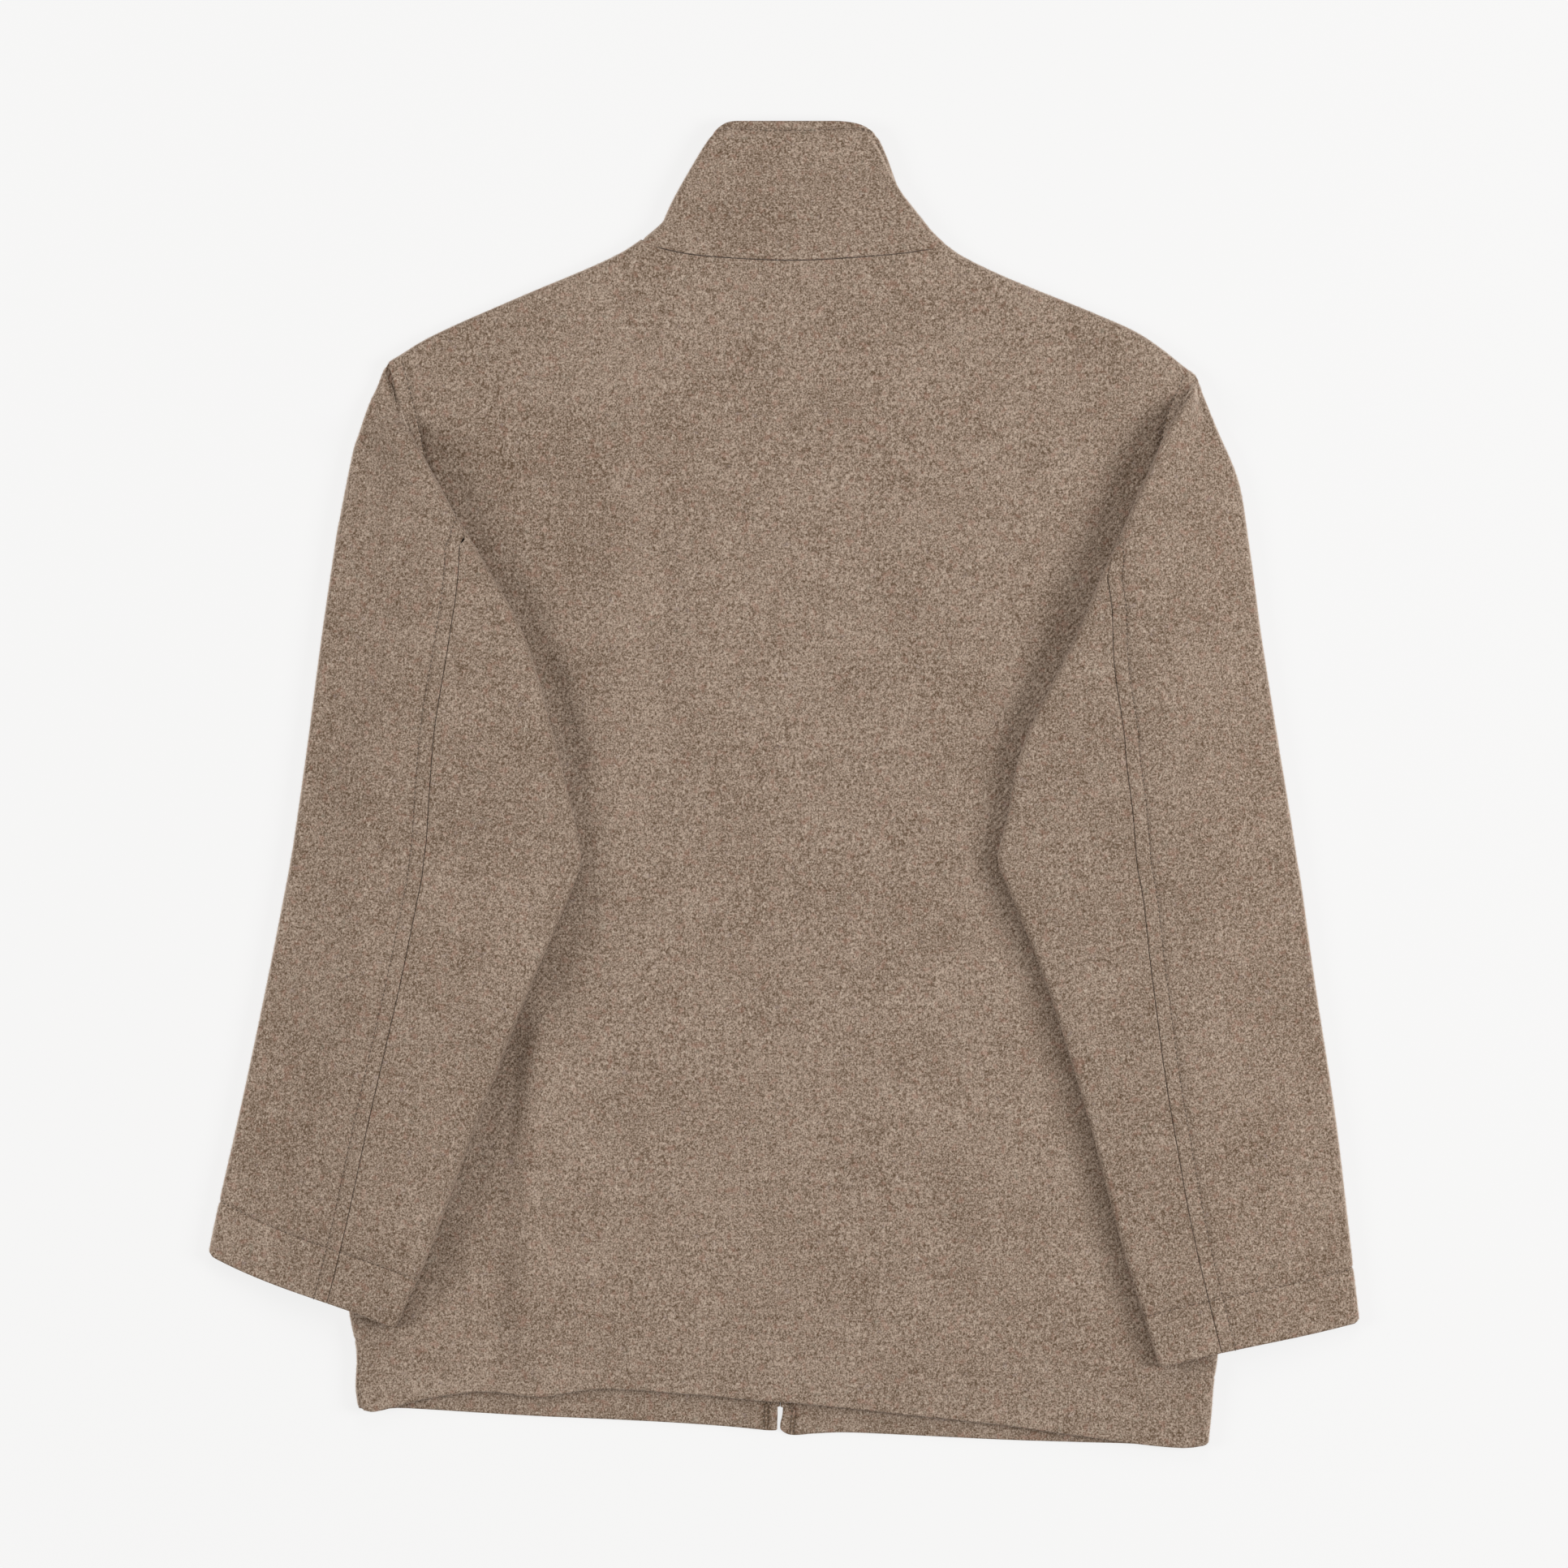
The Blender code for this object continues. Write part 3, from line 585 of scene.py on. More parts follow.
def back_grid():
    """Points on the back's outer face, and how far its sewing pinches it."""
    at_top = stations[None, :]
    in_neck = (at_top > NECK_LEFT.x) & (at_top < NECK_RIGHT.x)
    inside = np.minimum(at_top - NECK_LEFT.x, NECK_RIGHT.x - at_top)
    neck_top = follow(BACK_NECK, "x", "y", at_top) - SEAM / 2 * smooth(inside / ROLL)
    top = np.where(in_neck, neck_top, shoulder_y(at_top))
    bottom = follow(HEM, "x", "back", back_x(at_top, HEM_LEVEL)[0])
    bottom = bottom + side_corner(at_top - left_top, "left") + side_corner(right_top - at_top, "right")
    y = rows_up(bottom, top, BACK_EVEN_ROWS)
    x, side_inset = back_x(at_top, y)
    half, bent = body_height(x, y, at_top, y - bottom, side_inset, top - y)
    z = 2 * half - bent * (half - SEAM / 2)
    sewn = HEM_STITCH_DEEP * groove(y - bottom - HEM_LINE, STITCH_WIDE)
    above = smooth((y - UNDERARM_Y) / UNDERARM_BLEND)
    sewn = sewn + STITCH_DEEP * above * groove(side_inset - ARMHOLE_LINE, STITCH_WIDE)
    seam_shown = smooth((SEAM_SHOWN_Y - y) / UNDERARM_BLEND) * (x < 0.0)
    z = z - SEAM_SHOWN_DEEP * seam_shown * groove(side_inset - SEAM_SHOWN_IN, SEAM_SHOWN_WIDE)
    return np.stack([x, y, z], axis=2), sewn


def painted_shade_at(x, y):
    """Painted shade: how much darker the back is painted in patches where it lies in shade."""
    total = 0.0
    for patch in PAINTED_SHADE_PATCHES:
        off = ((x - patch.x) / patch.wide) ** 2 + ((y - patch.y) / patch.long) ** 2
        total = total + patch.shade * np.exp(-off)
    return total


back_points, back_sewn = back_grid()
back_rims = (SEAM_RIM, SEAM_RIM, HEM_RIM, SEAM_RIM)
back_painted_shade = painted_shade_at(back_points[..., 0], back_points[..., 1])
back = shell("back_cloth", back_points, CLOTH, back_rims, pinch=back_sewn, nap=back_painted_shade)

# %% [markdown]
# ## Fronts
# The fronts lie face down on the floor, so their outer faces are flat there and only turn up at the
# side and shoulder seams. They hang a little lower than the back and meet edge to edge at the zip.
# A mirrored copy would be quicker than a second run of the function, but the two hems differ.

# %% Fronts
FRONT_LINES = (0.0058, 0.0082)
FRONT_LINE_CLEAR = 0.004
FRONT_STEPS = np.concatenate([RIM_STEPS, [0.0014, 0.0030, 0.0046]])
FRONT_COLUMNS = 34
FRONT_SIDE_COLUMNS = 26
FRONT_EVEN_ROWS = 95
# painted shade: the fronts are painted darker, for the shade they lie in below the back's hem
FRONT_PAINTED_SHADE = -0.030
Corner = namedtuple("Corner", "lift lift_wide round round_wide")
FRONT_CORNER = {
    "left": Corner(0.0014, 0.0090, 0.0010, 0.0012),
    "right": Corner(0.0, 0.0100, 0.0036, 0.0070),
}
SLIT_OPENS = {"left": 0.0003, "right": 0.0017}
SLIT_CLOSES = 0.00155
SLIT_LONG = 0.0157
SLIT_END = 0.0006
SLIT_SHUT = 0.026
SLIT_EASE = 0.030
CORNER_FADE = 0.012
FRONT_STITCH_DEEP = 0.0012
# painted shade in the grooves of the fronts' rows of sewing
GROOVE_PAINTED_SHADE = -0.16
NECK_CORNER = 0.006
NECK_CORNER_THIN = 0.12
FIRST_LINE_COLUMN = -1 - len(FRONT_STEPS) - len(LINE_STEPS) // 2
FRONT_LINE_COLUMNS = [FIRST_LINE_COLUMN - len(LINE_STEPS) * number for number in range(len(FRONT_LINES))]


def front_grid(side):
    """Points on a front's outer face, its thickness, and how far its sewing pinches it."""
    neck = side.neck
    outer = side.top
    middle = side.middle
    edge = side.edge
    corner = FRONT_CORNER[side.name]
    reach = abs(neck.x - middle) + SEAM / 2
    drop = neck.y - FRONT_NECK_Y + SEAM / 2

    from_middle = np.concatenate([
        FRONT_STEPS,
        *[line + LINE_STEPS for line in FRONT_LINES],
        np.linspace(FRONT_LINES[-1] + FRONT_LINE_CLEAR, reach - ROLL, FRONT_COLUMNS),
        reach - ROLL_INSETS[-2::-1],
    ])
    shoulder = np.linspace(reach, abs(outer - middle) - ROLL, FRONT_SIDE_COLUMNS)[1:-1]
    roll = abs(outer - middle) - ROLL_INSETS[::-1]
    neck_count = len(from_middle)
    inset = np.concatenate([from_middle, shoulder, roll])[::-1][None, :]
    at_top = middle + side.sign * inset
    angle = np.arcsin(np.clip(inset / reach, 0.0, 1.0))
    in_neck = np.arange(inset.shape[1])[None, :] >= inset.shape[1] - neck_count
    top = np.where(in_neck, neck.y - drop * np.cos(angle), shoulder_y(at_top))
    share = (at_top - outer + side.sign * ROLL) / (neck.x - outer + side.sign * ROLL)

    def front_x(y):
        x = np.where(in_neck, at_top, mix(edge(y) - side.sign * ROLL, neck.x, share))
        return np.where(np.abs(outer - at_top) < ROLL, edge(y) + at_top - outer, x)

    bottom = follow(HEM, "x", "front", front_x(HEM_LEVEL))
    bottom = bottom + side_corner(np.abs(outer - at_top), side.name)
    rise = corner.lift * np.clip(1.0 - inset / corner.lift_wide, 0.0, 1.0) ** 2
    rise = rise + corner.round * (1.0 - quarter_round(inset, corner.round_wide))
    y = rows_up(bottom, top, FRONT_EVEN_ROWS)
    above = y - bottom
    y = y + rise * (1.0 - smooth(above / CORNER_FADE))
    bottom = bottom + rise
    x = front_x(y)
    opening = SLIT_OPENS[side.name] * smooth(above / SLIT_LONG)
    shut = smooth((above - SLIT_LONG) / SLIT_END) * smooth((SLIT_SHUT - above) / SLIT_END)
    shift = opening - side.sign * SLIT_CLOSES * shut
    x = x + shift * smooth(1.0 - np.abs(x - middle) / SLIT_EASE)
    half, bent = body_height(x, y, at_top, y - bottom, np.abs(edge(y) - x), top - y)
    z = bent * (half - SEAM / 2)
    sewn = FRONT_STITCH_DEEP * sum(groove(inset - line, STITCH_WIDE) for line in FRONT_LINES)
    sewn = sewn + HEM_STITCH_DEEP * groove(y - bottom - HEM_LINE, STITCH_WIDE)
    from_corner = smooth(np.hypot(x - neck.x, y - neck.y) / NECK_CORNER)
    share_left = mix(NECK_CORNER_THIN, 1.0, from_corner)
    return np.stack([x, y, z], axis=2), CLOTH * share_left, sewn * share_left


fronts = {}
front_rims = (SEAM_RIM, HEM_RIM, HEM_RIM, SEAM_RIM)
for side in (LEFT, RIGHT):
    points, thick, sewn = front_grid(side)
    front_painted_shade = FRONT_PAINTED_SHADE + GROOVE_PAINTED_SHADE * sewn / FRONT_STITCH_DEEP
    fronts[side.name] = shell(
        f"front_{side.name}_cloth", points, thick, front_rims,
        flip=side is LEFT, pinch=sewn, nap=front_painted_shade,
    )

# %% [markdown]
# ## Sleeves
# Each sleeve is a tube of two cut pieces, pressed flat and folded down over the back. A row of the
# table is one section across it, from its outer fold to its inner fold. The tube's underside runs
# down from the back to the floor outside the body's side. Sweeping a flat oval along a curve would
# miss that step, so each section is worked out from what lies below it. The two pieces meet at the
# elbow seam, which shows on top and goes round the inner fold near the armhole.

# %% Sizes of the sleeves
ARMHOLE_SEAM = 0.0007
RAMP = 0.018
RAMP_FOOT = 0.003
BODY_CLEAR = 0.002
FLAT_LEAST = 0.0021
TOP_REACH = 0.022
SLEEVE_SWELL = 0.0012
SWELL_SHIFT = 1.0
CROWN_FULL_AT = 4.0
Bow = namedtuple("Bow", "outer inner")
CUFF_BOW = {"left": Bow(0.0048, -0.0016), "right": Bow(0.0016, -0.0022)}
CUFF_CORNER = 0.0030
CUFF_LIFT = 0.0015
ELBOW_GAP = 0.00024
LOWER_GAP = 0.00003
OVAL = 0.30
FOLD_IN = 0.0034
Section = namedtuple("Section", "at outer_x outer_y inner_x inner_y outer_roll inner_roll climb")
SLEEVE_TABLE = {
    "left": [
        Section(-1, -0.2440, 0.2588, -0.2424, 0.2590, 0.0032, 0.0016, 0.30),
        Section(-0.5, -0.2468, 0.2550, -0.2408, 0.2556, 0.0033, 0.0016, 0.30),
        Section(0, -0.2508, 0.2445, -0.2384, 0.2455, 0.0035, 0.0016, 0.30),
        Section(1, -0.2545, 0.2370, -0.2366, 0.2380, 0.0040, 0.0016, 0.32),
        Section(1.5, -0.2568, 0.2310, -0.2354, 0.2315, 0.0042, 0.0018, 0.36),
        Section(2, -0.2590, 0.2250, -0.2336, 0.2250, 0.0044, 0.0034, 0.72),
        Section(2.5, -0.2622, 0.2150, -0.2291, 0.2150, 0.0046, 0.0078, 1.00),
        Section(3, -0.2655, 0.2050, -0.2235, 0.2050, 0.0047, 0.0092, 1.00),
        Section(4, -0.2745, 0.1600, -0.1985, 0.1600, 0.0048, 0.0084, 1.00),
        Section(5, -0.2777, 0.1400, -0.1864, 0.1400, 0.0048, 0.0074, 1.00),
        Section(6, -0.2850, 0.0900, -0.1592, 0.0900, 0.0048, 0.0072, 1.00),
        Section(7, -0.2935, 0.0250, -0.1402, 0.0250, 0.0048, 0.0078, 1.00),
        Section(8, -0.3010, -0.0280, -0.1275, -0.0280, 0.0048, 0.0056, 1.00),
        Section(9, -0.3040, -0.0470, -0.1250, -0.0470, 0.0048, 0.0050, 1.00),
        Section(10, -0.3075, -0.0660, -0.1305, -0.0660, 0.0048, 0.0058, 1.00),
        Section(11, -0.3190, -0.1245, -0.1562, -0.1260, 0.0048, 0.0086, 1.00),
        Section(12, -0.3345, -0.1980, -0.1868, -0.2040, 0.0048, 0.0084, 1.00),
        Section(13, -0.3495, -0.2640, -0.2155, -0.2820, 0.0048, 0.0074, 1.00),
        Section(14, -0.3545, -0.2900, -0.2385, -0.3355, 0.0046, 0.0050, 1.00),
    ],
    "right": [
        Section(-1, 0.2550, 0.2498, 0.2528, 0.2506, 0.0032, 0.0016, 0.30),
        Section(-0.5, 0.2578, 0.2410, 0.2496, 0.2425, 0.0035, 0.0020, 1.00),
        Section(0, 0.2605, 0.2345, 0.2458, 0.2360, 0.0035, 0.0040, 1.00),
        Section(1, 0.2628, 0.2285, 0.2421, 0.2290, 0.0040, 0.0060, 1.00),
        Section(2, 0.2675, 0.2170, 0.2350, 0.2170, 0.0044, 0.0082, 1.00),
        Section(3, 0.2802, 0.1860, 0.2212, 0.1860, 0.0047, 0.0097, 1.00),
        Section(4, 0.2865, 0.1480, 0.2040, 0.1480, 0.0048, 0.0096, 1.00),
        Section(5, 0.2903, 0.1200, 0.1915, 0.1200, 0.0048, 0.0090, 1.00),
        Section(6, 0.2943, 0.0900, 0.1788, 0.0900, 0.0048, 0.0082, 1.00),
        Section(7, 0.3043, 0.0270, 0.1472, 0.0250, 0.0048, 0.0066, 1.00),
        Section(8, 0.3120, -0.0200, 0.1370, -0.0200, 0.0048, 0.0056, 1.00),
        Section(9, 0.3160, -0.0460, 0.1313, -0.0460, 0.0048, 0.0054, 1.00),
        Section(10, 0.3190, -0.0640, 0.1375, -0.0640, 0.0048, 0.0052, 1.00),
        Section(11, 0.3272, -0.1230, 0.1612, -0.1230, 0.0048, 0.0048, 1.00),
        Section(12, 0.3395, -0.2030, 0.1862, -0.2030, 0.0048, 0.0048, 1.00),
        Section(13, 0.3480, -0.2740, 0.2062, -0.2780, 0.0048, 0.0048, 1.00),
        Section(14, 0.3545, -0.3315, 0.2305, -0.3595, 0.0046, 0.0046, 1.00),
    ],
}
Turn = namedtuple("Turn", "at turn")
ELBOW_SEAM = {
    "left": [
        Turn(3.00, 6.00),
        Turn(3.40, 5.20),
        Turn(3.70, 4.20),
        Turn(4.00, 3.45),
        Turn(4.30, 3.15),
        Turn(4.60, 2.965),
        Turn(5.00, 2.885),
        Turn(6.00, 2.64),
        Turn(7.00, 2.51),
        Turn(8.00, 2.47),
        Turn(9.00, 2.46),
        Turn(10.00, 2.47),
        Turn(11.00, 2.51),
        Turn(12.00, 2.55),
        Turn(13.00, 2.60),
        Turn(14.00, 2.64),
    ],
    "right": [
        Turn(3.00, 6.00),
        Turn(3.40, 5.20),
        Turn(3.70, 4.30),
        Turn(4.00, 3.50),
        Turn(4.35, 3.20),
        Turn(4.70, 3.02),
        Turn(5.00, 2.95),
        Turn(6.00, 2.82),
        Turn(7.00, 2.61),
        Turn(8.00, 2.56),
        Turn(9.00, 2.54),
        Turn(10.00, 2.55),
        Turn(11.00, 2.61),
        Turn(12.00, 2.67),
        Turn(13.00, 2.69),
        Turn(14.00, 2.70),
    ],
}
SLEEVE_FOLDS = {
    "left": [
        Fold(-0.235, -0.020, -0.150, -0.045, -0.0008, 0.016),
        Fold(-0.290, -0.120, -0.240, -0.200, 0.0008, 0.024),
        Fold(-0.260, 0.080, -0.230, -0.010, 0.0007, 0.022),
        Fold(-0.2490, 0.244, -0.2420, 0.205, 0.0026, 0.006),
        Fold(-0.2560, 0.216, -0.2500, 0.176, -0.0014, 0.007),
    ],
    "right": [
        Fold(0.225, -0.020, 0.160, -0.046, -0.0008, 0.016),
        Fold(0.285, -0.100, 0.250, -0.190, 0.0008, 0.024),
        Fold(0.262, 0.090, 0.285, -0.020, 0.0007, 0.022),
    ],
}

# %% Form of a sleeve
FIRST_SHARE = 0.3
TRIES = 6
OUTER_FOLD_TURN = 1.5
INNER_FOLD_TURN = 3.5


class Sleeve:
    """The laid tube of one sleeve."""

    def __init__(self, side):
        self.side = side
        self.edge = side.edge
        self.rows = SLEEVE_TABLE[side.name]
        self.last = self.rows[-1].at
        self.seam = np.array(ELBOW_SEAM[side.name])
        self.folds = SLEEVE_FOLDS[side.name]
        self.bow = CUFF_BOW[side.name]

    def value(self, wanted, at):
        return float(follow(self.rows, "at", wanted, at))

    def seam_turn(self, at):
        return float(steady(self.seam[:, 0], self.seam[:, 1], at))

    def below_arm(self, y):
        """One beside the body's side, nothing beside the armhole."""
        return smooth((UNDERARM_Y + UNDERARM_BLEND - y) / (2 * UNDERARM_BLEND))

    def support(self, x, y):
        """Height of what lies below the sleeve, running down outside the body's side."""
        inside = (self.edge(y) - x) * self.side.sign
        down = smooth((inside + RAMP) / RAMP)
        return (back_high(x, y) + REST) * mix(1.0, down, self.below_arm(y))

    def split_x(self, y):
        """Where the lower seam lies, just outside what carries the sleeve."""
        out = ARMHOLE_SEAM + (RAMP + RAMP_FOOT) * self.below_arm(y)
        return self.edge(y) + self.side.sign * out

    def tube(self, at, turn):
        """Points by their turn: below to 1, outer fold to 2, top to 3, inner fold to 4, below to 6."""
        ox, oy, ix, iy, outer_roll, inner_roll, climb = (self.value(key, at) for key in Section._fields[1:])
        climb = min(climb, 1.0)
        width = math.hypot(ix - ox, iy - oy)
        fold_in = min(FOLD_IN, OVAL * width)
        found = []
        for wanted in (self.split_x, self.edge):
            share = FIRST_SHARE
            for _ in range(TRIES):
                share = (float(wanted(mix(oy, iy, share))) - ox) / (ix - ox)
            found.append(share * width)
        flat = min(FLAT_LEAST, OVAL * width / 2)
        far = width - fold_in
        split = min(max(found[0], fold_in + SEAM), far - flat)
        body = min(found[1], far)
        from_inner = far / width
        lift = float(self.support(mix(ox, ix, from_inner), mix(oy, iy, from_inner))) * climb
        foot = min(max(body + BODY_CLEAR, split + 3 * SEAM), far - 2 * SEAM)

        below = mix(split, fold_in, np.clip(turn, 0.0, 1.0))
        outer_angle = math.pi * (np.clip(turn, 1.0, 2.0) - OUTER_FOLD_TURN)
        outer = fold_in - fold_in * np.cos(outer_angle)
        over = np.clip(turn - 2.0, 0.0, 1.0)
        top = mix(fold_in, far, over)
        inner_angle = math.pi * (INNER_FOLD_TURN - np.clip(turn, 3.0, 4.0))
        inner = far + fold_in * np.cos(inner_angle)
        under = mix(far, foot, np.clip(turn - 4.0, 0.0, 1.0))
        apart = float(mix(2 * SEAM, LOWER_GAP, self.below_arm(mix(oy, iy, split / width))))
        ramp = mix(foot, split + apart, np.clip(turn - 5.0, 0.0, 1.0))
        zones = [turn <= 1.0, turn <= 2.0, turn <= 3.0, turn <= 4.0, turn <= 5.0]
        d = np.select(zones, [below, outer, top, inner, under], ramp)
        share = d / width
        bow = 4 * mix(self.bow.outer, self.bow.inner, share) * share * (1.0 - share)
        bow = bow * smooth(at - self.last + 1)
        near = np.clip(1.0 - np.minimum(d, width - d) / CUFF_CORNER, 0.0, 1.0)
        lifted = CUFF_LIFT * near * near * smooth(at - self.last + 1)
        x = mix(ox, ix, share)
        y = mix(oy, iy, share) - bow + lifted

        full = min(body + TOP_REACH, far)
        risen = smooth((top - fold_in) / max(full - fold_in, SEAM))
        top_z = mix(2 * outer_roll, lift + 2 * inner_roll, risen)
        crown = np.sin(math.pi * over) * smooth(at / CROWN_FULL_AT)
        top_z = top_z + SLEEVE_SWELL * crown
        uneven = folds_at(self.folds, x, y) + swells_at(x + SWELL_SHIFT, y)
        top_z = top_z + uneven * np.sqrt(crown)
        outer_z = outer_roll + outer_roll * np.sin(outer_angle)
        inner_z = lift + inner_roll + inner_roll * np.sin(inner_angle)
        under_z = climb * self.support(x, y)
        z = np.select(zones, [np.zeros_like(turn), outer_z, top_z, inner_z, under_z], under_z)
        return np.stack([x, y, z], axis=1)


sleeve_forms = [Sleeve(LEFT), Sleeve(RIGHT)]
for form in sleeve_forms:
    cuff = form.tube(form.last, np.array([OUTER_FOLD_TURN, INNER_FOLD_TURN]))
    print(form.side.name, "cuff from", cuff[0].round(4).tolist(), "to", cuff[1].round(4).tolist())

# %% [markdown]
# The raw sections are now laid out again as cloth. Along each line the points are set at chosen
# distances from both ends, for the round edges and the rows of sewing, and evenly between, closer
# where the line bends round a fold. So the columns run true beside the elbow seam and the rows run
# true beside the cuff.

# %% Sleeve pieces
ELBOW_LINE = 0.0087
CUFF_LINE = 0.0330
EDGE_STEPS = np.concatenate([RIM_STEPS, [0.0018]])
ELBOW_STEPS = np.concatenate([EDGE_STEPS, [0.0035, 0.0055], ELBOW_LINE + LINE_STEPS, [0.0120]])
BELOW_CUFF_LINE = [0.004, 0.008, 0.014, 0.020, 0.026, 0.030]
CUFF_STEPS = np.concatenate([EDGE_STEPS, BELOW_CUFF_LINE, CUFF_LINE + LINE_STEPS, [0.0365]])
RAW_ROWS = 260
RAW_TURNS = 420
LAST_TURN = 6.0
FOLD_TURNING = 0.010
SLEEVE_ROWS = 130
UPPER_COLUMNS = 52
UNDER_COLUMNS = 46
UNDER_TOP_AT = 3.05
NARROW = 8.0 * CLOTH
# painted shade: the sleeves are painted a little darker, to look less lit than the back
SLEEVE_PAINTED_SHADE = -0.022
GRAIN = {"left": math.radians(-9.0), "right": math.radians(7.0)}


def spaced(line, first, last, count, bend):
    """Points along a line at fixed distances from its ends, and count even steps between."""
    step = np.diff(line, axis=0)
    long = np.linalg.norm(step, axis=1)
    arc = np.concatenate([[0.0], np.cumsum(long)])
    unit = step / np.maximum(long, TINY)[:, None]
    turn = np.arccos(np.clip((unit[1:] * unit[:-1]).sum(axis=1), -1.0, 1.0))
    measure = arc + bend * np.concatenate([[0.0, 0.0], np.cumsum(turn)])
    fit = min(1.0, arc[-1] / (2.0 * (first[-1] + last[-1])))
    start = first * fit
    end = arc[-1] - last[::-1] * fit
    low, high = np.interp([start[-1], end[0]], arc, measure)
    between = np.linspace(low, high, count + 1)
    places = np.concatenate([start, np.interp(between[1:-1], measure, arc), end])
    return np.stack([np.interp(places, arc, line[:, k]) for k in range(3)], axis=1)


def respaced(raw, last, count):
    """A raw grid laid out again along each of its columns."""
    columns = [spaced(raw[:, number], EDGE_STEPS, last, count, 0.0) for number in range(raw.shape[1])]
    return np.stack(columns, axis=1)


def sleeve_line(form, at, half_name):
    """Points of one cut piece along a section of its sleeve."""
    seam = form.seam_turn(at)
    if half_name == "upper":
        line = form.tube(at, np.linspace(0.0, seam, RAW_TURNS))
        return spaced(line, EDGE_STEPS, ELBOW_STEPS + ELBOW_GAP / 2, UPPER_COLUMNS, FOLD_TURNING)
    line = form.tube(at, np.linspace(seam, LAST_TURN, RAW_TURNS))
    return spaced(line, EDGE_STEPS + ELBOW_GAP / 2, EDGE_STEPS, UNDER_COLUMNS, FOLD_TURNING)


def sleeve_piece(form, half_name):
    """One cut piece of a sleeve, thinner where it runs out to a point."""
    first_at = form.rows[0].at if half_name == "upper" else UNDER_TOP_AT
    raw = [sleeve_line(form, at, half_name) for at in np.linspace(first_at, form.last, RAW_ROWS)]
    grid = respaced(np.stack(raw), CUFF_STEPS, SLEEVE_ROWS)
    across = lengths(grid, 1)
    along = lengths(grid, 0)
    sewn = STITCH_DEEP * groove(along[-1:] - along - CUFF_LINE, STITCH_WIDE)
    if half_name == "upper":
        sewn = sewn + STITCH_DEEP * groove(across[:, -1:] - across - ELBOW_LINE, STITCH_WIDE)
    narrow = np.minimum(1.0, across[:, -1:] / NARROW)
    return shell(
        f"sleeve_{form.side.name}_{half_name}_cloth", grid, CLOTH * narrow,
        (SEAM_RIM, SEAM_RIM, SEAM_RIM, HEM_RIM), flip=form.side is LEFT, pinch=sewn * narrow,
        grain=GRAIN[form.side.name], nap=SLEEVE_PAINTED_SHADE,
    )


sleeves = {}
for form in sleeve_forms:
    for half_name in ("upper", "under"):
        sleeves[form.side.name, half_name] = sleeve_piece(form, half_name)

# %% [markdown]
# ## Stand collar
# The collar is one doubled band that goes round the neck from front edge to front edge. Laid flat,
# it folds at both sides, and its back half lies over its front halves. The table gives its side
# folds level by level. A row of sewing runs below its top edge.

# %% Collar
COLLAR_CLOTH = 0.0036
COLLAR_FOLD_TOP = 0.4015
COLLAR_BACK_TOP = 0.4084
COLLAR_FRONT_TOP = 0.3380
COLLAR_CORNER_LEFT = 0.012
COLLAR_CORNER_RIGHT = 0.022
COLLAR_LINE = 0.0060
COLLAR_LAP = 0.0020
COLLAR_LAP_IN = 0.013
COLLAR_STITCH_DEEP = 0.0014
# painted shade: the collar is painted a little darker, to look less lit than the back
COLLAR_PAINTED_SHADE = -0.028
COLLAR_GRAIN = math.radians(90.0)
SIDE_CREASE_IN = 0.0054
SIDE_CREASE_FROM = 0.56
SIDE_CREASE_TO = 0.90
SIDE_CREASE_END = 0.08
SIDE_CREASE_DEEP = 0.0012
SIDE_CREASE_COLUMNS = np.arange(0.0038, 0.0095, 0.0005)
SIDE_CREASE_PAINTED_HIGHLIGHT = 0.42
SIDE_CREASE_PAINTED_SHADE = -0.12
Level = namedtuple("Level", "share left right high")
COLLAR_LEVELS = [
    Level(0.00, -0.0880, 0.1010, 0.0097),
    Level(0.04, -0.0862, 0.0990, 0.0097),
    Level(0.10, -0.0813, 0.0944, 0.0098),
    Level(0.15, -0.0774, 0.0909, 0.0100),
    Level(0.19, -0.0746, 0.0886, 0.0102),
    Level(0.24, -0.0732, 0.0858, 0.0103),
    Level(0.36, -0.0694, 0.0789, 0.0106),
    Level(0.50, -0.0642, 0.0714, 0.0108),
    Level(0.65, -0.0582, 0.0670, 0.0108),
    Level(0.80, -0.0520, 0.0629, 0.0106),
    Level(0.95, -0.0448, 0.0575, 0.0104),
    Level(1.00, -0.0412, 0.0530, 0.0103),
]
ABOVE_COLLAR_LINE = [0.0014, 0.0019, 0.0030, 0.0042]
COLLAR_STEPS = np.concatenate([RIM_STEPS, ABOVE_COLLAR_LINE, COLLAR_LINE + LINE_STEPS, [0.009]])
COLLAR_STEP_CLEAR = 0.003
COLLAR_ROWS = 30
COLLAR_RAW_ROWS = 140
COLLAR_FRONT_COLUMNS = 26
COLLAR_BACK_COLUMNS = 64


def collar_front(side, share):
    """The half of the collar on one front, from the front edge to the side fold."""
    neck = side.neck
    middle = side.middle
    reach = abs(neck.x - middle) - SEAM / 2
    inset = np.concatenate([
        FRONT_STEPS,
        np.linspace(FRONT_STEPS[-1] + COLLAR_STEP_CLEAR, reach - ROLL, COLLAR_FRONT_COLUMNS),
        reach - ROLL_INSETS[-2::-1],
    ])
    sine = np.clip(inset / reach, 0.0, 1.0)[None, :]
    level_fold = follow(COLLAR_LEVELS, "share", side.name, share) - side.sign * SEAM / 2
    half = follow(COLLAR_LEVELS, "share", "high", share) / 2
    fold_y = mix(neck.y - COLLAR_LAP, COLLAR_FOLD_TOP, share)
    middle_y = mix(FRONT_NECK_Y + SEAM / 2, COLLAR_FRONT_TOP, share)
    x = middle + (level_fold - middle) * sine
    y = fold_y - (fold_y - middle_y) * np.sqrt(1.0 - sine * sine)
    z = half * rolled(np.abs(x - level_fold))
    return np.stack([x, y, z], axis=2)


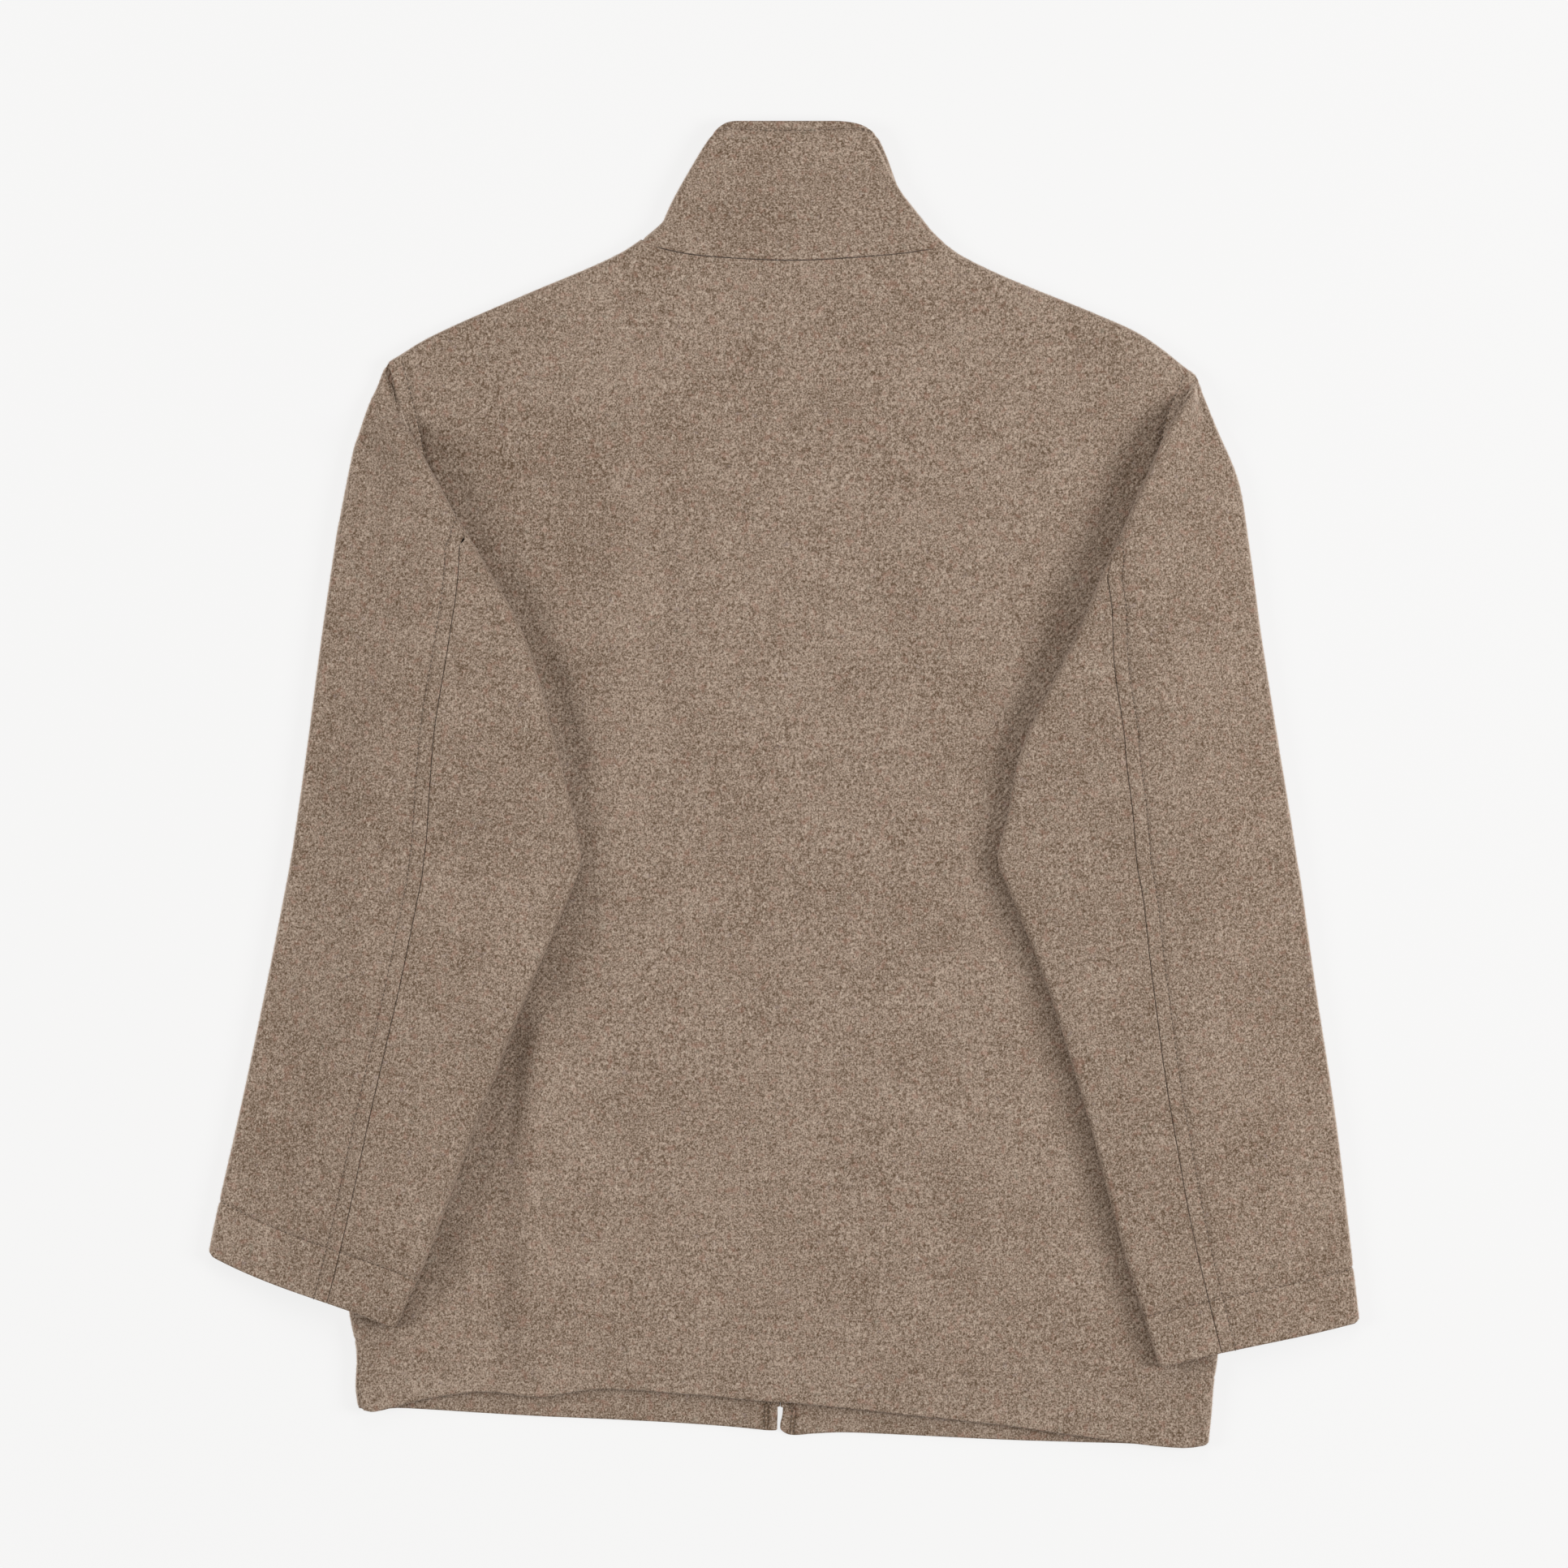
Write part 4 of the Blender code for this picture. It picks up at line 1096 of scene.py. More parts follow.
def collar_back(share):
    """The half of the collar behind the neck, from side fold to side fold."""
    at_neck = eased(NECK_LEFT.x, NECK_RIGHT.x, COLLAR_BACK_COLUMNS)
    at_neck = np.sort(np.concatenate([at_neck, NECK_RIGHT.x - SIDE_CREASE_COLUMNS]))[None, :]
    left = follow(COLLAR_LEVELS, "share", "left", share) + SEAM / 2
    right = follow(COLLAR_LEVELS, "share", "right", share) - SEAM / 2
    half = follow(COLLAR_LEVELS, "share", "high", share) / 2
    x, inset = relaid(at_neck, NECK_LEFT.x, NECK_RIGHT.x, left, right)
    corner = np.where(x - left < right - x, COLLAR_CORNER_LEFT, COLLAR_CORNER_RIGHT)
    top = mix(COLLAR_BACK_TOP, COLLAR_FOLD_TOP, rolled(ROLL * np.minimum(inset / corner, 1.0)))
    from_corner = np.minimum(at_neck - NECK_LEFT.x, NECK_RIGHT.x - at_neck)
    lap = COLLAR_LAP * smooth(1.0 - from_corner / COLLAR_LAP_IN)
    bottom = follow(BACK_NECK, "x", "y", at_neck) + SEAM / 2 - lap
    z = 2 * half - half * rolled(inset)
    return np.stack([x, mix(bottom, top, share), z], axis=2)


def collar_grid():
    """Points on the collar's outer face, from one front edge round to the other."""
    share = np.linspace(0.0, 1.0, COLLAR_RAW_ROWS)[:, None]
    left = collar_front(LEFT, share)
    right = collar_front(RIGHT, share)
    raw = np.concatenate([left[:, :-1], collar_back(share), right[:, -2::-1]], axis=1)
    return respaced(raw, COLLAR_STEPS, COLLAR_ROWS)


collar_points = collar_grid()
collar_along = lengths(collar_points, 0)
print("collar points:", collar_points.shape[0] * collar_points.shape[1])

# %% [markdown]
# The fold on the right of the picture is pressed in a slant. A crease starts on it halfway up and
# runs inward as it rises. It is pinched into the cloth like a row of sewing, with painted shade on
# its outside and a painted highlight along its inside.

# %% Crease beside the collar's fold
collar_sewn = COLLAR_STITCH_DEEP * groove(collar_along[-1:] - collar_along - COLLAR_LINE, STITCH_WIDE)
collar_fold = int(np.argmax(collar_points[COLLAR_ROWS // 2, :, 0]))
collar_share = collar_along / collar_along[-1:]
side_crease = smooth((collar_share - SIDE_CREASE_FROM) / SIDE_CREASE_END)
side_crease = side_crease * smooth((SIDE_CREASE_TO - collar_share) / SIDE_CREASE_END)
side_crease = side_crease * (np.arange(collar_points.shape[1]) < collar_fold)
from_fold = collar_points[:, collar_fold:collar_fold + 1, 0] - collar_points[..., 0]
crease_in = SIDE_CREASE_IN * (collar_share - SIDE_CREASE_FROM) / (SIDE_CREASE_TO - SIDE_CREASE_FROM)
collar_sewn = collar_sewn + SIDE_CREASE_DEEP * side_crease * groove(from_fold - crease_in, STITCH_WIDE)
# dark marks where the painted shade goes, pale where the painted highlight goes
dark = smooth((crease_in - from_fold) / STITCH_WIDE)
pale = groove(from_fold - crease_in - STITCH_WIDE, STITCH_WIDE)
collar_painted_shading = COLLAR_PAINTED_SHADE + SIDE_CREASE_PAINTED_SHADE * side_crease * dark + SIDE_CREASE_PAINTED_HIGHLIGHT * side_crease * pale
collar_rims = (HEM_RIM, HEM_RIM, SEAM_RIM, COLLAR_RIM)
collar = shell(
    "collar_cloth", collar_points, COLLAR_CLOTH, collar_rims,
    pinch=collar_sewn, grain=COLLAR_GRAIN, nap=collar_painted_shading,
)

# %% [markdown]
# ## Zip
# A zip holds the two front edges together. It lies between the layers, so little of it shows: its
# tapes are narrow woven bands on the inner faces of the fronts, and its metal teeth fill the slit
# between the edges. The tapes are made like the other cloth, with fine ribs. The teeth come later,
# with the sewing, because both repeat one small shape along a path.

# %% Zip tapes
ZIP_MIDDLE = (FRONT_EDGE_LEFT + FRONT_EDGE_RIGHT) / 2
ZIP_BOTTOM = -0.3650
ZIP_TOP = 0.3340
NECK_STEP = 0.010
TAPE_NEAR = 0.0025
TAPE_FAR = 0.0165
TAPE_CLOTH = 0.0007
TAPE_RIBS = 9
TAPE_RIB_DEEP = 0.0001
TAPE_ROWS = 60
TAPE_COLUMNS = 48
TAPE_RIM = Rim(0.0003, 0.2)
ZIP_PATH = np.array([
    (ZIP_BOTTOM, CLOTH),
    (FRONT_NECK_Y - NECK_STEP - REST, CLOTH),
    (FRONT_NECK_Y - REST, COLLAR_CLOTH),
    (ZIP_TOP, COLLAR_CLOTH),
])


def tape_grid(near, far):
    """Points on a tape's upper face, with a step up where the collar begins."""
    x = ZIP_MIDDLE + np.linspace(near, far, TAPE_COLUMNS)[None, :]
    y = np.concatenate([np.linspace(ZIP_BOTTOM, ZIP_TOP, TAPE_ROWS), ZIP_PATH[1:3, 0]])
    y = np.sort(y)[:, None]
    z = np.interp(y, ZIP_PATH[:, 0], ZIP_PATH[:, 1]) + SEAM + TAPE_CLOTH
    return np.stack(np.broadcast_arrays(x, y, z), axis=2)


tapes = {}
for side_name, near, far in (("left", -TAPE_FAR, -TAPE_NEAR), ("right", TAPE_NEAR, TAPE_FAR)):
    grid = tape_grid(near, far)
    across = (grid[..., 0] - grid[:, :1, 0]) / (far - near)
    ribs = TAPE_RIB_DEEP * (0.5 + 0.5 * np.cos(2.0 * math.pi * TAPE_RIBS * across))
    tapes[side_name] = shell(f"zip_tape_{side_name}_cloth", grid, TAPE_CLOTH, (TAPE_RIM,) * 4, pinch=ribs)

# %% [markdown]
# ## Materials as sums
# A finish is easiest to read when its maths looks like maths. A small class wraps a node's output,
# so that adding or multiplying two of them makes the node that does it. Every other node comes from
# one method, which sets its options before its sockets. The trees that repeat small shapes, further
# down, are built in the same way.

# %% Node helpers
def feed(socket, given):
    """Link a socket to a value, or set it to a plain number or colour."""
    if isinstance(given, Value):
        socket.id_data.links.new(given.socket, socket)
    else:
        socket.default_value = given


class Value:
    """What a node gives out, which works like any other number."""

    def __init__(self, socket):
        self.socket = socket

    def worked(self, operation, first, second):
        node = self.socket.id_data.nodes.new("ShaderNodeMath")
        node.operation = operation
        feed(node.inputs[0], first)
        feed(node.inputs[1], second)
        return Value(node.outputs[0])

    def __add__(self, other):
        return self.worked("ADD", self, other)

    def __sub__(self, other):
        return self.worked("SUBTRACT", self, other)

    def __rsub__(self, other):
        return self.worked("SUBTRACT", other, self)

    def __mul__(self, other):
        return self.worked("MULTIPLY", self, other)

    def wave(self):
        return self.worked("SINE", self, 0.0)

    def beside(self, name):
        """Another output of the same node."""
        return Value(self.socket.node.outputs[name])

    __radd__ = __add__
    __rmul__ = __mul__


class Tree:
    """A tree of nodes, each fed with plain values or with what other nodes give out."""

    def __init__(self, tree):
        self.tree = tree

    def node(self, kind, settings, values, output=0):
        """A new node with its options set and its sockets fed, as one of its outputs."""
        made = self.tree.nodes.new(kind)
        for key, setting in settings.items():
            setattr(made, key, setting)
        for key, value in values.items():
            feed(made.inputs[key], value)
        return Value(made.outputs[output])


print("node helpers ready")

# %% Material helpers
EVEN = (1.0, 1.0, 1.0)


class Finish(Tree):
    """A material with its nodes, and the constants of its shader."""

    def __init__(self, name, **constants):
        self.material = bpy.data.materials.new(name)
        self.material.use_nodes = True
        super().__init__(self.material.node_tree)
        self.shader = self.tree.nodes["Principled BSDF"]
        self.link(**constants)

    def noise(self, place, scale, detail=1.0, spread=EVEN, shift=0.0):
        """Soft random values from 0 to 1, drawn out where spread is less than one."""
        fed = {0: place, 1: spread, 2: (shift, shift, shift)}
        moved = self.node("ShaderNodeVectorMath", {"operation": "MULTIPLY_ADD"}, fed)
        fed = {"Vector": moved, "Scale": scale, "Detail": detail}
        return self.node("ShaderNodeTexNoise", {}, fed, "Fac")

    def step(self, value, low, high):
        """Nothing below low, one above high, and a soft step between."""
        fed = {"Value": value, "From Min": low, "From Max": high}
        return self.node("ShaderNodeMapRange", {"interpolation_type": "SMOOTHSTEP"}, fed)

    def blend(self, share, first, second):
        """A colour between two, by the share of the second."""
        return self.node("ShaderNodeMix", {"data_type": "RGBA"}, {0: share, 6: first, 7: second}, 2)

    def link(self, **values):
        """Feed sockets of the shader, by their names with low lines for spaces."""
        for key, value in values.items():
            feed(self.shader.inputs[key.replace("_", " ")], value)


def mottled(name, dark, light, scale, detail=1.0, spread=EVEN, **constants):
    """A finish that wanders between two colours, and the noise that it follows."""
    finish = Finish(name, **constants)
    place = finish.node("ShaderNodeTexCoord", {}, {}, "Object")
    wander = finish.noise(place, scale, detail, spread)
    finish.link(Base_Color=finish.blend(wander, dark, light))
    return finish, wander


print("material helpers ready")

# %% [markdown]
# ## Napped melange wool
# The yarn is spun from fibres dyed cream, brown, dark brown and rust, with a few grey and lilac ones.
# The nap hides most of the weave, so what is left is a soft grain, short strokes along the two thread
# directions, a few thicker threads, flecks, and faint slanting lines, because the cloth is a twill.
# Each is a noise of its own size, and the lines are a wave that wanders a little and shows most where
# light strikes along the cloth. A scanned picture of cloth would repeat, and it would tie the wool to
# one garment.

# %% Wool
WOOL_DARK = (0.112, 0.0702, 0.0418, 1.0)
WOOL_LIGHT = (0.532, 0.430, 0.353, 1.0)
WOOL_MIDDLE = 0.42
Noise = namedtuple("Noise", "share scale detail spread shift")
TONE = {
    "grain": Noise(1.29, 1100.0, 1.0, (1.0, 0.85, 1.0), 0.0),
    "tufts": Noise(0.48, 480.0, 1.0, EVEN, 3.9),
    "warp": Noise(0.33, 900.0, 1.0, (1.0, 0.35, 0.7), 3.1),
    "weft": Noise(0.24, 900.0, 1.0, (0.35, 1.0, 0.7), 7.7),
}
UNEVEN = {
    "slubs up": Noise(0.12, 330.0, 1.0, (1.0, 0.08, 1.0), 1.3),
    "slubs across": Noise(0.15, 330.0, 1.0, (0.08, 1.0, 1.0), 5.9),
    "clouds": Noise(0.20, 26.0, 3.0, EVEN, 2.2),
}
Fleck = namedtuple("Fleck", "colour low high noise")
FLECKS = {
    "rust": Fleck((0.300, 0.160, 0.118, 1.0), 0.55, 0.72, Noise(0.36, 190.0, 2.0, EVEN, 4.4)),
    "grey": Fleck((0.300, 0.290, 0.235, 1.0), 0.62, 0.76, Noise(0.25, 210.0, 2.0, EVEN, 9.1)),
    "lilac": Fleck((0.330, 0.270, 0.275, 1.0), 0.64, 0.78, Noise(0.25, 200.0, 2.0, EVEN, 6.3)),
    "cream": Fleck((0.595, 0.510, 0.428, 1.0), 0.62, 0.76, Noise(0.55, 780.0, 1.0, (1.0, 0.6, 1.0), 8.2)),
    "umber": Fleck((0.080, 0.050, 0.032, 1.0), 0.66, 0.80, Noise(0.45, 740.0, 1.0, (0.7, 1.0, 1.0), 0.7)),
}
TWILL_PER_METRE = 236.0
TWILL = 2.0 * math.pi * TWILL_PER_METRE
TWILL_WANDER = 3.0
TWILL_WANDER_SCALE = 85.0
TWILL_WANDER_SHIFT = 5.3
TWILL_SHADE = 0.018
TWILL_HIGH = 0.32
NAP_HIGH = 0.0003


def swings(wool, place, table):
    """The noises of a table added up, each swinging about nothing by its share."""
    total = 0.0
    for given in table.values():
        total = total + (wool.noise(place, *given[1:]) - 0.5) * given.share
    return total


def wool_finish():
    wool = Finish(
        "napped_melange_wool", Roughness=0.95, Specular_IOR_Level=0.15,
        Sheen_Weight=0.12, Sheen_Roughness=0.4,
    )
    place = wool.node("ShaderNodeAttribute", {"attribute_name": "cut"}, {}, "Vector")
    fed = {0: place, 1: (TWILL, -TWILL, 0.0)}
    lines = wool.node("ShaderNodeVectorMath", {"operation": "DOT_PRODUCT"}, fed, "Value")
    wander = wool.noise(place, TWILL_WANDER_SCALE, shift=TWILL_WANDER_SHIFT)
    twill = (lines + wander * TWILL_WANDER).wave()
    nap = wool.node("ShaderNodeAttribute", {"attribute_name": "nap"}, {}, "Fac")
    tone = swings(wool, place, TONE)
    shade = tone + twill * TWILL_SHADE + swings(wool, place, UNEVEN) + nap + WOOL_MIDDLE
    colour = wool.blend(wool.step(shade, 0.0, 1.0), WOOL_DARK, WOOL_LIGHT)
    for fleck in FLECKS.values():
        spot = wool.step(wool.noise(place, *fleck.noise[1:]), fleck.low, fleck.high)
        colour = wool.blend(spot * fleck.noise.share, colour, fleck.colour)
    fed = {"Strength": 1.0, "Distance": NAP_HIGH, "Height": tone + twill * TWILL_HIGH}
    relief = wool.node("ShaderNodeBump", {}, fed, "Normal")
    wool.link(Base_Color=colour, Normal=relief)
    return wool.material


wool_material = wool_finish()
print("wool nodes:", len(wool_material.node_tree.nodes))

# %% [markdown]
# ## Thread, tape and teeth
# The sewing is done in thread that matches the wool, so it shows only as small dashes in their
# grooves. The zip's tapes are woven in dark brown, and its teeth are worn brass.

# %% Thread, tape and teeth
THREAD_DARK = (0.040, 0.029, 0.021, 1.0)
THREAD_LIGHT = (0.110, 0.080, 0.060, 1.0)
TAPE_DARK = (0.085, 0.060, 0.044, 1.0)
TAPE_LIGHT = (0.180, 0.132, 0.098, 1.0)
BRASS_DARK = (0.240, 0.175, 0.095, 1.0)
BRASS_LIGHT = (0.460, 0.360, 0.215, 1.0)
BRASS_SMOOTH = 0.2
BRASS_WORN = 0.3

thread, _ = mottled("matching_thread", THREAD_DARK, THREAD_LIGHT, scale=2600.0, Roughness=0.7)
tape, _ = mottled("woven_tape", TAPE_DARK, TAPE_LIGHT, scale=1500.0, spread=(1.0, 0.4, 1.0), Roughness=0.85)
brass, wear = mottled("worn_brass", BRASS_DARK, BRASS_LIGHT, scale=700.0, detail=3.0, Metallic=1.0)
brass.link(Roughness=wear * BRASS_WORN + BRASS_SMOOTH)
for piece in CLOTH_PIECES:
    piece.data.materials.append(tape.material if piece.name.startswith("zip") else wool_material)
print("finishes:", len(bpy.data.materials))

# %% [markdown]
# ## One small shape along a path
# Stitches and zip teeth are the same job: a small shape set at even steps along a line, turned to the
# line and to the cloth's face. Geometry Nodes do that well, since the shape is made once and only
# placed many times. The path carries the direction out of the cloth at each of its points.

# %% Placing helper
class Placing(Tree):
    """A Geometry Nodes tree that places one small shape many times."""

    def __init__(self, name, inputs):
        super().__init__(bpy.data.node_groups.new(name, "GeometryNodeTree"))
        for label, kind in inputs.items():
            self.tree.interface.new_socket(label, in_out="INPUT", socket_type="NodeSocket" + kind)
        self.tree.interface.new_socket("Placed", in_out="OUTPUT", socket_type="NodeSocketGeometry")
        self.inputs = self.tree.nodes.new("NodeGroupInput").outputs

    def given(self, label):
        return Value(self.inputs[label])

    def kept_value(self, name, kind):
        """What each point of the holder keeps under a name."""
        return self.node("GeometryNodeInputNamedAttribute", {"data_type": kind}, {"Name": name}, "Attribute")

    def size(self, least):
        """A random size from the least up to one."""
        fed = {2: least, 3: 1.0, "Seed": self.given("Seed")}
        return self.node("FunctionNodeRandomValue", {"data_type": "FLOAT"}, fed, 1)

    def place(self, points, rotation, scale):
        """Set the shape on points, make it real and give it its material."""
        fed = {"Object": self.given("Shape")}
        shape = self.node("GeometryNodeObjectInfo", {"transform_space": "ORIGINAL"}, fed, "Geometry")
        fed = {"Points": points, "Instance": shape, "Rotation": rotation, "Scale": scale}
        placed = self.node("GeometryNodeInstanceOnPoints", {}, fed)
        real = self.node("GeometryNodeRealizeInstances", {}, {"Geometry": placed})
        fed = {"Geometry": real, "Material": self.given("Material")}
        dressed = self.node("GeometryNodeSetMaterial", {}, fed)
        feed(self.tree.nodes.new("NodeGroupOutput").inputs["Placed"], dressed)

    def run(self, holder, name, **values):
        """A plain piece with what the tree makes of its holder."""
        modifier = holder.modifiers.new(self.tree.name, "NODES")
        modifier.node_group = self.tree
        for item in self.tree.interface.items_tree:
            if item.in_out == "INPUT" and item.name in values:
                modifier[item.identifier] = values[item.name]
        graph = bpy.context.evaluated_depsgraph_get()
        mesh = bpy.data.meshes.new_from_object(holder.evaluated_get(graph), depsgraph=graph)
        holder.modifiers.remove(modifier)
        mesh.name = name
        print(name, "triangles:", sum(len(face.vertices) - 2 for face in mesh.polygons))
        return shown(name, mesh)


print("placing helper ready")

# %% Repeat along a path
def repeat_tree():
    tree = Placing("repeat_along_path", {
        "Path": "Geometry", "Spacing": "Float", "Shape": "Object",
        "Material": "Material", "Unevenness": "Float", "Seed": "Int",
    })
    line = tree.node("GeometryNodeMeshToCurve", {}, {"Mesh": tree.given("Path")})
    fed = {"Curve": line, "Length": tree.given("Spacing")}
    points = tree.node("GeometryNodeResampleCurve", {"mode": "LENGTH"}, fed)
    tangent = tree.node("GeometryNodeInputTangent", {}, {})
    out = tree.kept_value("out", "FLOAT_VECTOR")
    ahead = tree.node("FunctionNodeAlignRotationToVector", {"axis": "X"}, {"Vector": tangent})
    fed = {"Rotation": ahead, "Vector": out}
    upright = tree.node("FunctionNodeAlignRotationToVector", {"axis": "Z", "pivot_axis": "X"}, fed)
    tree.place(points, upright, tree.size(1.0 - tree.given("Unevenness")))
    return tree


REPEAT = repeat_tree()


def along_paths(name, paths, shape, spacing, material, unevenness, seed):
    """A plain mesh of one shape repeated along paths, each a pair of points and directions out."""
    points = np.concatenate([path for path, _ in paths])
    edges = []
    start = 0
    for path, _ in paths:
        edges += [(start + step, start + step + 1) for step in range(len(path) - 1)]
        start += len(path)
    path_mesh = new_mesh(name + "_path", points.tolist(), edges, [])
    keep(path_mesh, "out", np.concatenate([out for _, out in paths]))
    holder = shown(name + "_path", path_mesh)
    piece = REPEAT.run(
        holder, name, Spacing=spacing, Shape=shape, Material=material, Unevenness=unevenness, Seed=seed,
    )
    bpy.data.objects.remove(holder)
    return piece


print("repeat tree nodes:", len(REPEAT.tree.nodes))

# %% [markdown]
# ## Sewing
# Each row of sewing follows a line of the cloth's own grid, at the bottom of the groove that was
# pinched there. One stitch is a short bowed thread that dips into the cloth at both ends.

# %% One stitch
STITCH_STEP = 0.0030
STITCH_HALF = 0.00110
THREAD = 0.00030
STITCH_RINGS = 5
STITCH_SIDES = 6
STITCH_DIP = 0.00032
STITCH_TAPER = 0.75


def stitch_shape():
    """A short thread, thinner and lower toward both ends."""
    points = []
    for ring in range(STITCH_RINGS):
        t = 2.0 * ring / (STITCH_RINGS - 1) - 1.0
        radius = THREAD * math.sqrt(1.0 - STITCH_TAPER * t * t)
        for side in range(STITCH_SIDES):
            angle = 2.0 * math.pi * side / STITCH_SIDES
            height = radius * math.sin(angle) - STITCH_DIP * t * t
            points.append((STITCH_HALF * t, radius * math.cos(angle), height))
    first_end = tuple(range(STITCH_SIDES))
    last_end = tuple(reversed(range(len(points) - STITCH_SIDES, len(points))))
    faces = [first_end, last_end]
    for ring in range(STITCH_RINGS - 1):
        for side in range(STITCH_SIDES):
            a = ring * STITCH_SIDES + side
            b = ring * STITCH_SIDES + (side + 1) % STITCH_SIDES
            faces.append((b, a, a + STITCH_SIDES, b + STITCH_SIDES))
    mesh = new_mesh("stitch", points, [], faces)
    mesh.shade_smooth()
    return bpy.data.objects.new("stitch", mesh)


stitch = stitch_shape()
print("faces of a stitch:", len(stitch.data.polygons))

# %% Rows of sewing
STITCH_LIFT = 0.00008
STITCH_UNEVEN = 0.15
ARMHOLE_SEWN_FROM_Y = 0.02
ELBOW_SEWN_FROM = 0.05
# how many points of a line are left without sewing at each of its ends
AT_SHOULDER = len(ROLL_INSETS)
AT_FRONT_ENDS = 6
AT_CUFF_ENDS = 2
AT_ELBOW_END = 3
AT_COLLAR_ENDS = 3


def line_of(made, row=None, column=None, start=0, stop=None, inside=False):
    """A path on a made piece along one of its rows or columns, and the direction out of the cloth."""
    face = made.inner if inside else made.outer
    out = -made.normal if inside else made.normal
    line = np.s_[row, start:stop] if column is None else np.s_[start:stop, column]
    return face[line] + out[line] * STITCH_LIFT, out[line]


def nearest(values, wanted):
    return int(np.argmin(np.abs(np.asarray(values) - wanted)))


def both_faces(made, **where):
    return [line_of(made, **where), line_of(made, inside=True, **where)]


sewing = {"back": []}
armhole_from = nearest(back.outer[:, 0, 1], ARMHOLE_SEWN_FROM_Y)
for place in (left_top + ARMHOLE_LINE, right_top - ARMHOLE_LINE):
    column = nearest(stations, place)
    sewing["back"].append(line_of(back, column=column, start=armhole_from, stop=-AT_SHOULDER))
for side_name, made in fronts.items():
    paths = []
    for column in FRONT_LINE_COLUMNS:
        paths += both_faces(made, column=column, start=AT_FRONT_ENDS, stop=-AT_FRONT_ENDS)
    sewing[f"front_{side_name}"] = paths
cuff_row = -1 - nearest(CUFF_STEPS, CUFF_LINE)
elbow_column = -1 - nearest(ELBOW_STEPS, ELBOW_LINE)
for (side_name, half_name), made in sleeves.items():
    paths = [line_of(made, row=cuff_row, start=AT_CUFF_ENDS, stop=-AT_CUFF_ENDS)]
    if half_name == "upper":
        seam_rows = np.linalg.norm(np.diff(made.outer[:, elbow_column], axis=0), axis=1).cumsum()
        elbow_from = nearest(seam_rows, ELBOW_SEWN_FROM)
        paths.append(line_of(made, column=elbow_column, start=elbow_from, stop=-AT_ELBOW_END))
    sewing[f"sleeve_{side_name}_{half_name}"] = paths
collar_row = -1 - nearest(COLLAR_STEPS, COLLAR_LINE)
sewing["collar"] = both_faces(collar, row=collar_row, start=AT_COLLAR_ENDS, stop=-AT_COLLAR_ENDS)
sewn_pieces = {}
for number, (node_name, paths) in enumerate(sewing.items()):
    sewn_pieces[node_name] = along_paths(
        f"{node_name}_sewing", paths, stitch, STITCH_STEP, thread.material, STITCH_UNEVEN, number,
    )

# %% Zip teeth
TEETH_HALF = 0.0021
TEETH_THICK = 0.0012
TEETH_STEP = 0.0025
TOOTH_LONG = 0.0009
TOOTH_REACH = 0.0005
TOOTH_EDGE = 0.00018
TOOTH_CORNERS = 4
TEETH_INSIDE = 0.001
TEETH_PATH_POINTS = 80
TEETH_SEED = 1


def tooth_shape():
    """A small block from the tape to just past the middle, with its upper and lower edges broken."""
    points = []
    half = TEETH_THICK / 2
    levels = [(-half, TOOTH_EDGE), (-half + TOOTH_EDGE, 0.0), (half - TOOTH_EDGE, 0.0), (half, TOOTH_EDGE)]
    for z, inset in levels:
        x = TOOTH_LONG / 2 - inset
        low = -TOOTH_REACH + inset
        high = TEETH_HALF - inset
        points += [(-x, low, z), (x, low, z), (x, high, z), (-x, high, z)]
    bottom = tuple(reversed(range(TOOTH_CORNERS)))
    top = tuple(range(len(points) - TOOTH_CORNERS, len(points)))
    faces = [bottom, top]
    for level in range(len(levels) - 1):
        for side in range(TOOTH_CORNERS):
            a = TOOTH_CORNERS * level + side
            b = TOOTH_CORNERS * level + (side + 1) % TOOTH_CORNERS
            faces.append((a, b, b + TOOTH_CORNERS, a + TOOTH_CORNERS))
    return bpy.data.objects.new("tooth", new_mesh("tooth", points, [], faces))


def teeth_path(first, last):
    y = np.linspace(first, last, TEETH_PATH_POINTS)
    z = np.interp(y, ZIP_PATH[:, 0], ZIP_PATH[:, 1]) + SEAM + TEETH_THICK / 2
    points = np.stack([np.full_like(y, ZIP_MIDDLE), y, z], axis=1)
    return points, np.tile((0.0, 0.0, 1.0), (len(y), 1))


tooth = tooth_shape()
teeth_bottom = ZIP_BOTTOM + TEETH_INSIDE
teeth_top = ZIP_TOP - TEETH_INSIDE
teeth_paths = [
    teeth_path(teeth_bottom, teeth_top - TEETH_STEP / 2),
    teeth_path(teeth_top, teeth_bottom + TEETH_STEP / 2),
]
teeth = along_paths("zip_teeth_row", teeth_paths, tooth, TEETH_STEP, brass.material, 0.0, TEETH_SEED)

# %% [markdown]
# ## Loose fibres
# Napped wool has loose fibres all over. They hide in the pattern of the flat faces, but at the outline
# and the hems, where the cloth turns away, they stand out as a soft pale fringe, coloured paler than
# the wool as a painted light. Hair particles could do it, but the part has to end as plain meshes. So
# points are scattered on the cloth that turns away near the floor, and one thin spike is placed on each,
# tilted at random and never toward the floor.

# %% Fuzz
FIBRE_LONG = 0.0011
FIBRE_ROOT = 0.0002
FIBRE_HALF = 0.00008
FIBRE_TILT = 0.8
FIBRE_LEAST_SIZE = 0.45
FIBRE_LEAST_RISE = 0.1
FIBRE_SIDES = 3
FIBRES_PER_AREA = 1.6e6
# the fibres are real, but these colours run paler than the wool's own, a painted light caught at the outline
FIBRE_DARK = (0.420, 0.340, 0.275, 1.0)
FIBRE_LIGHT = (0.820, 0.735, 0.650, 1.0)


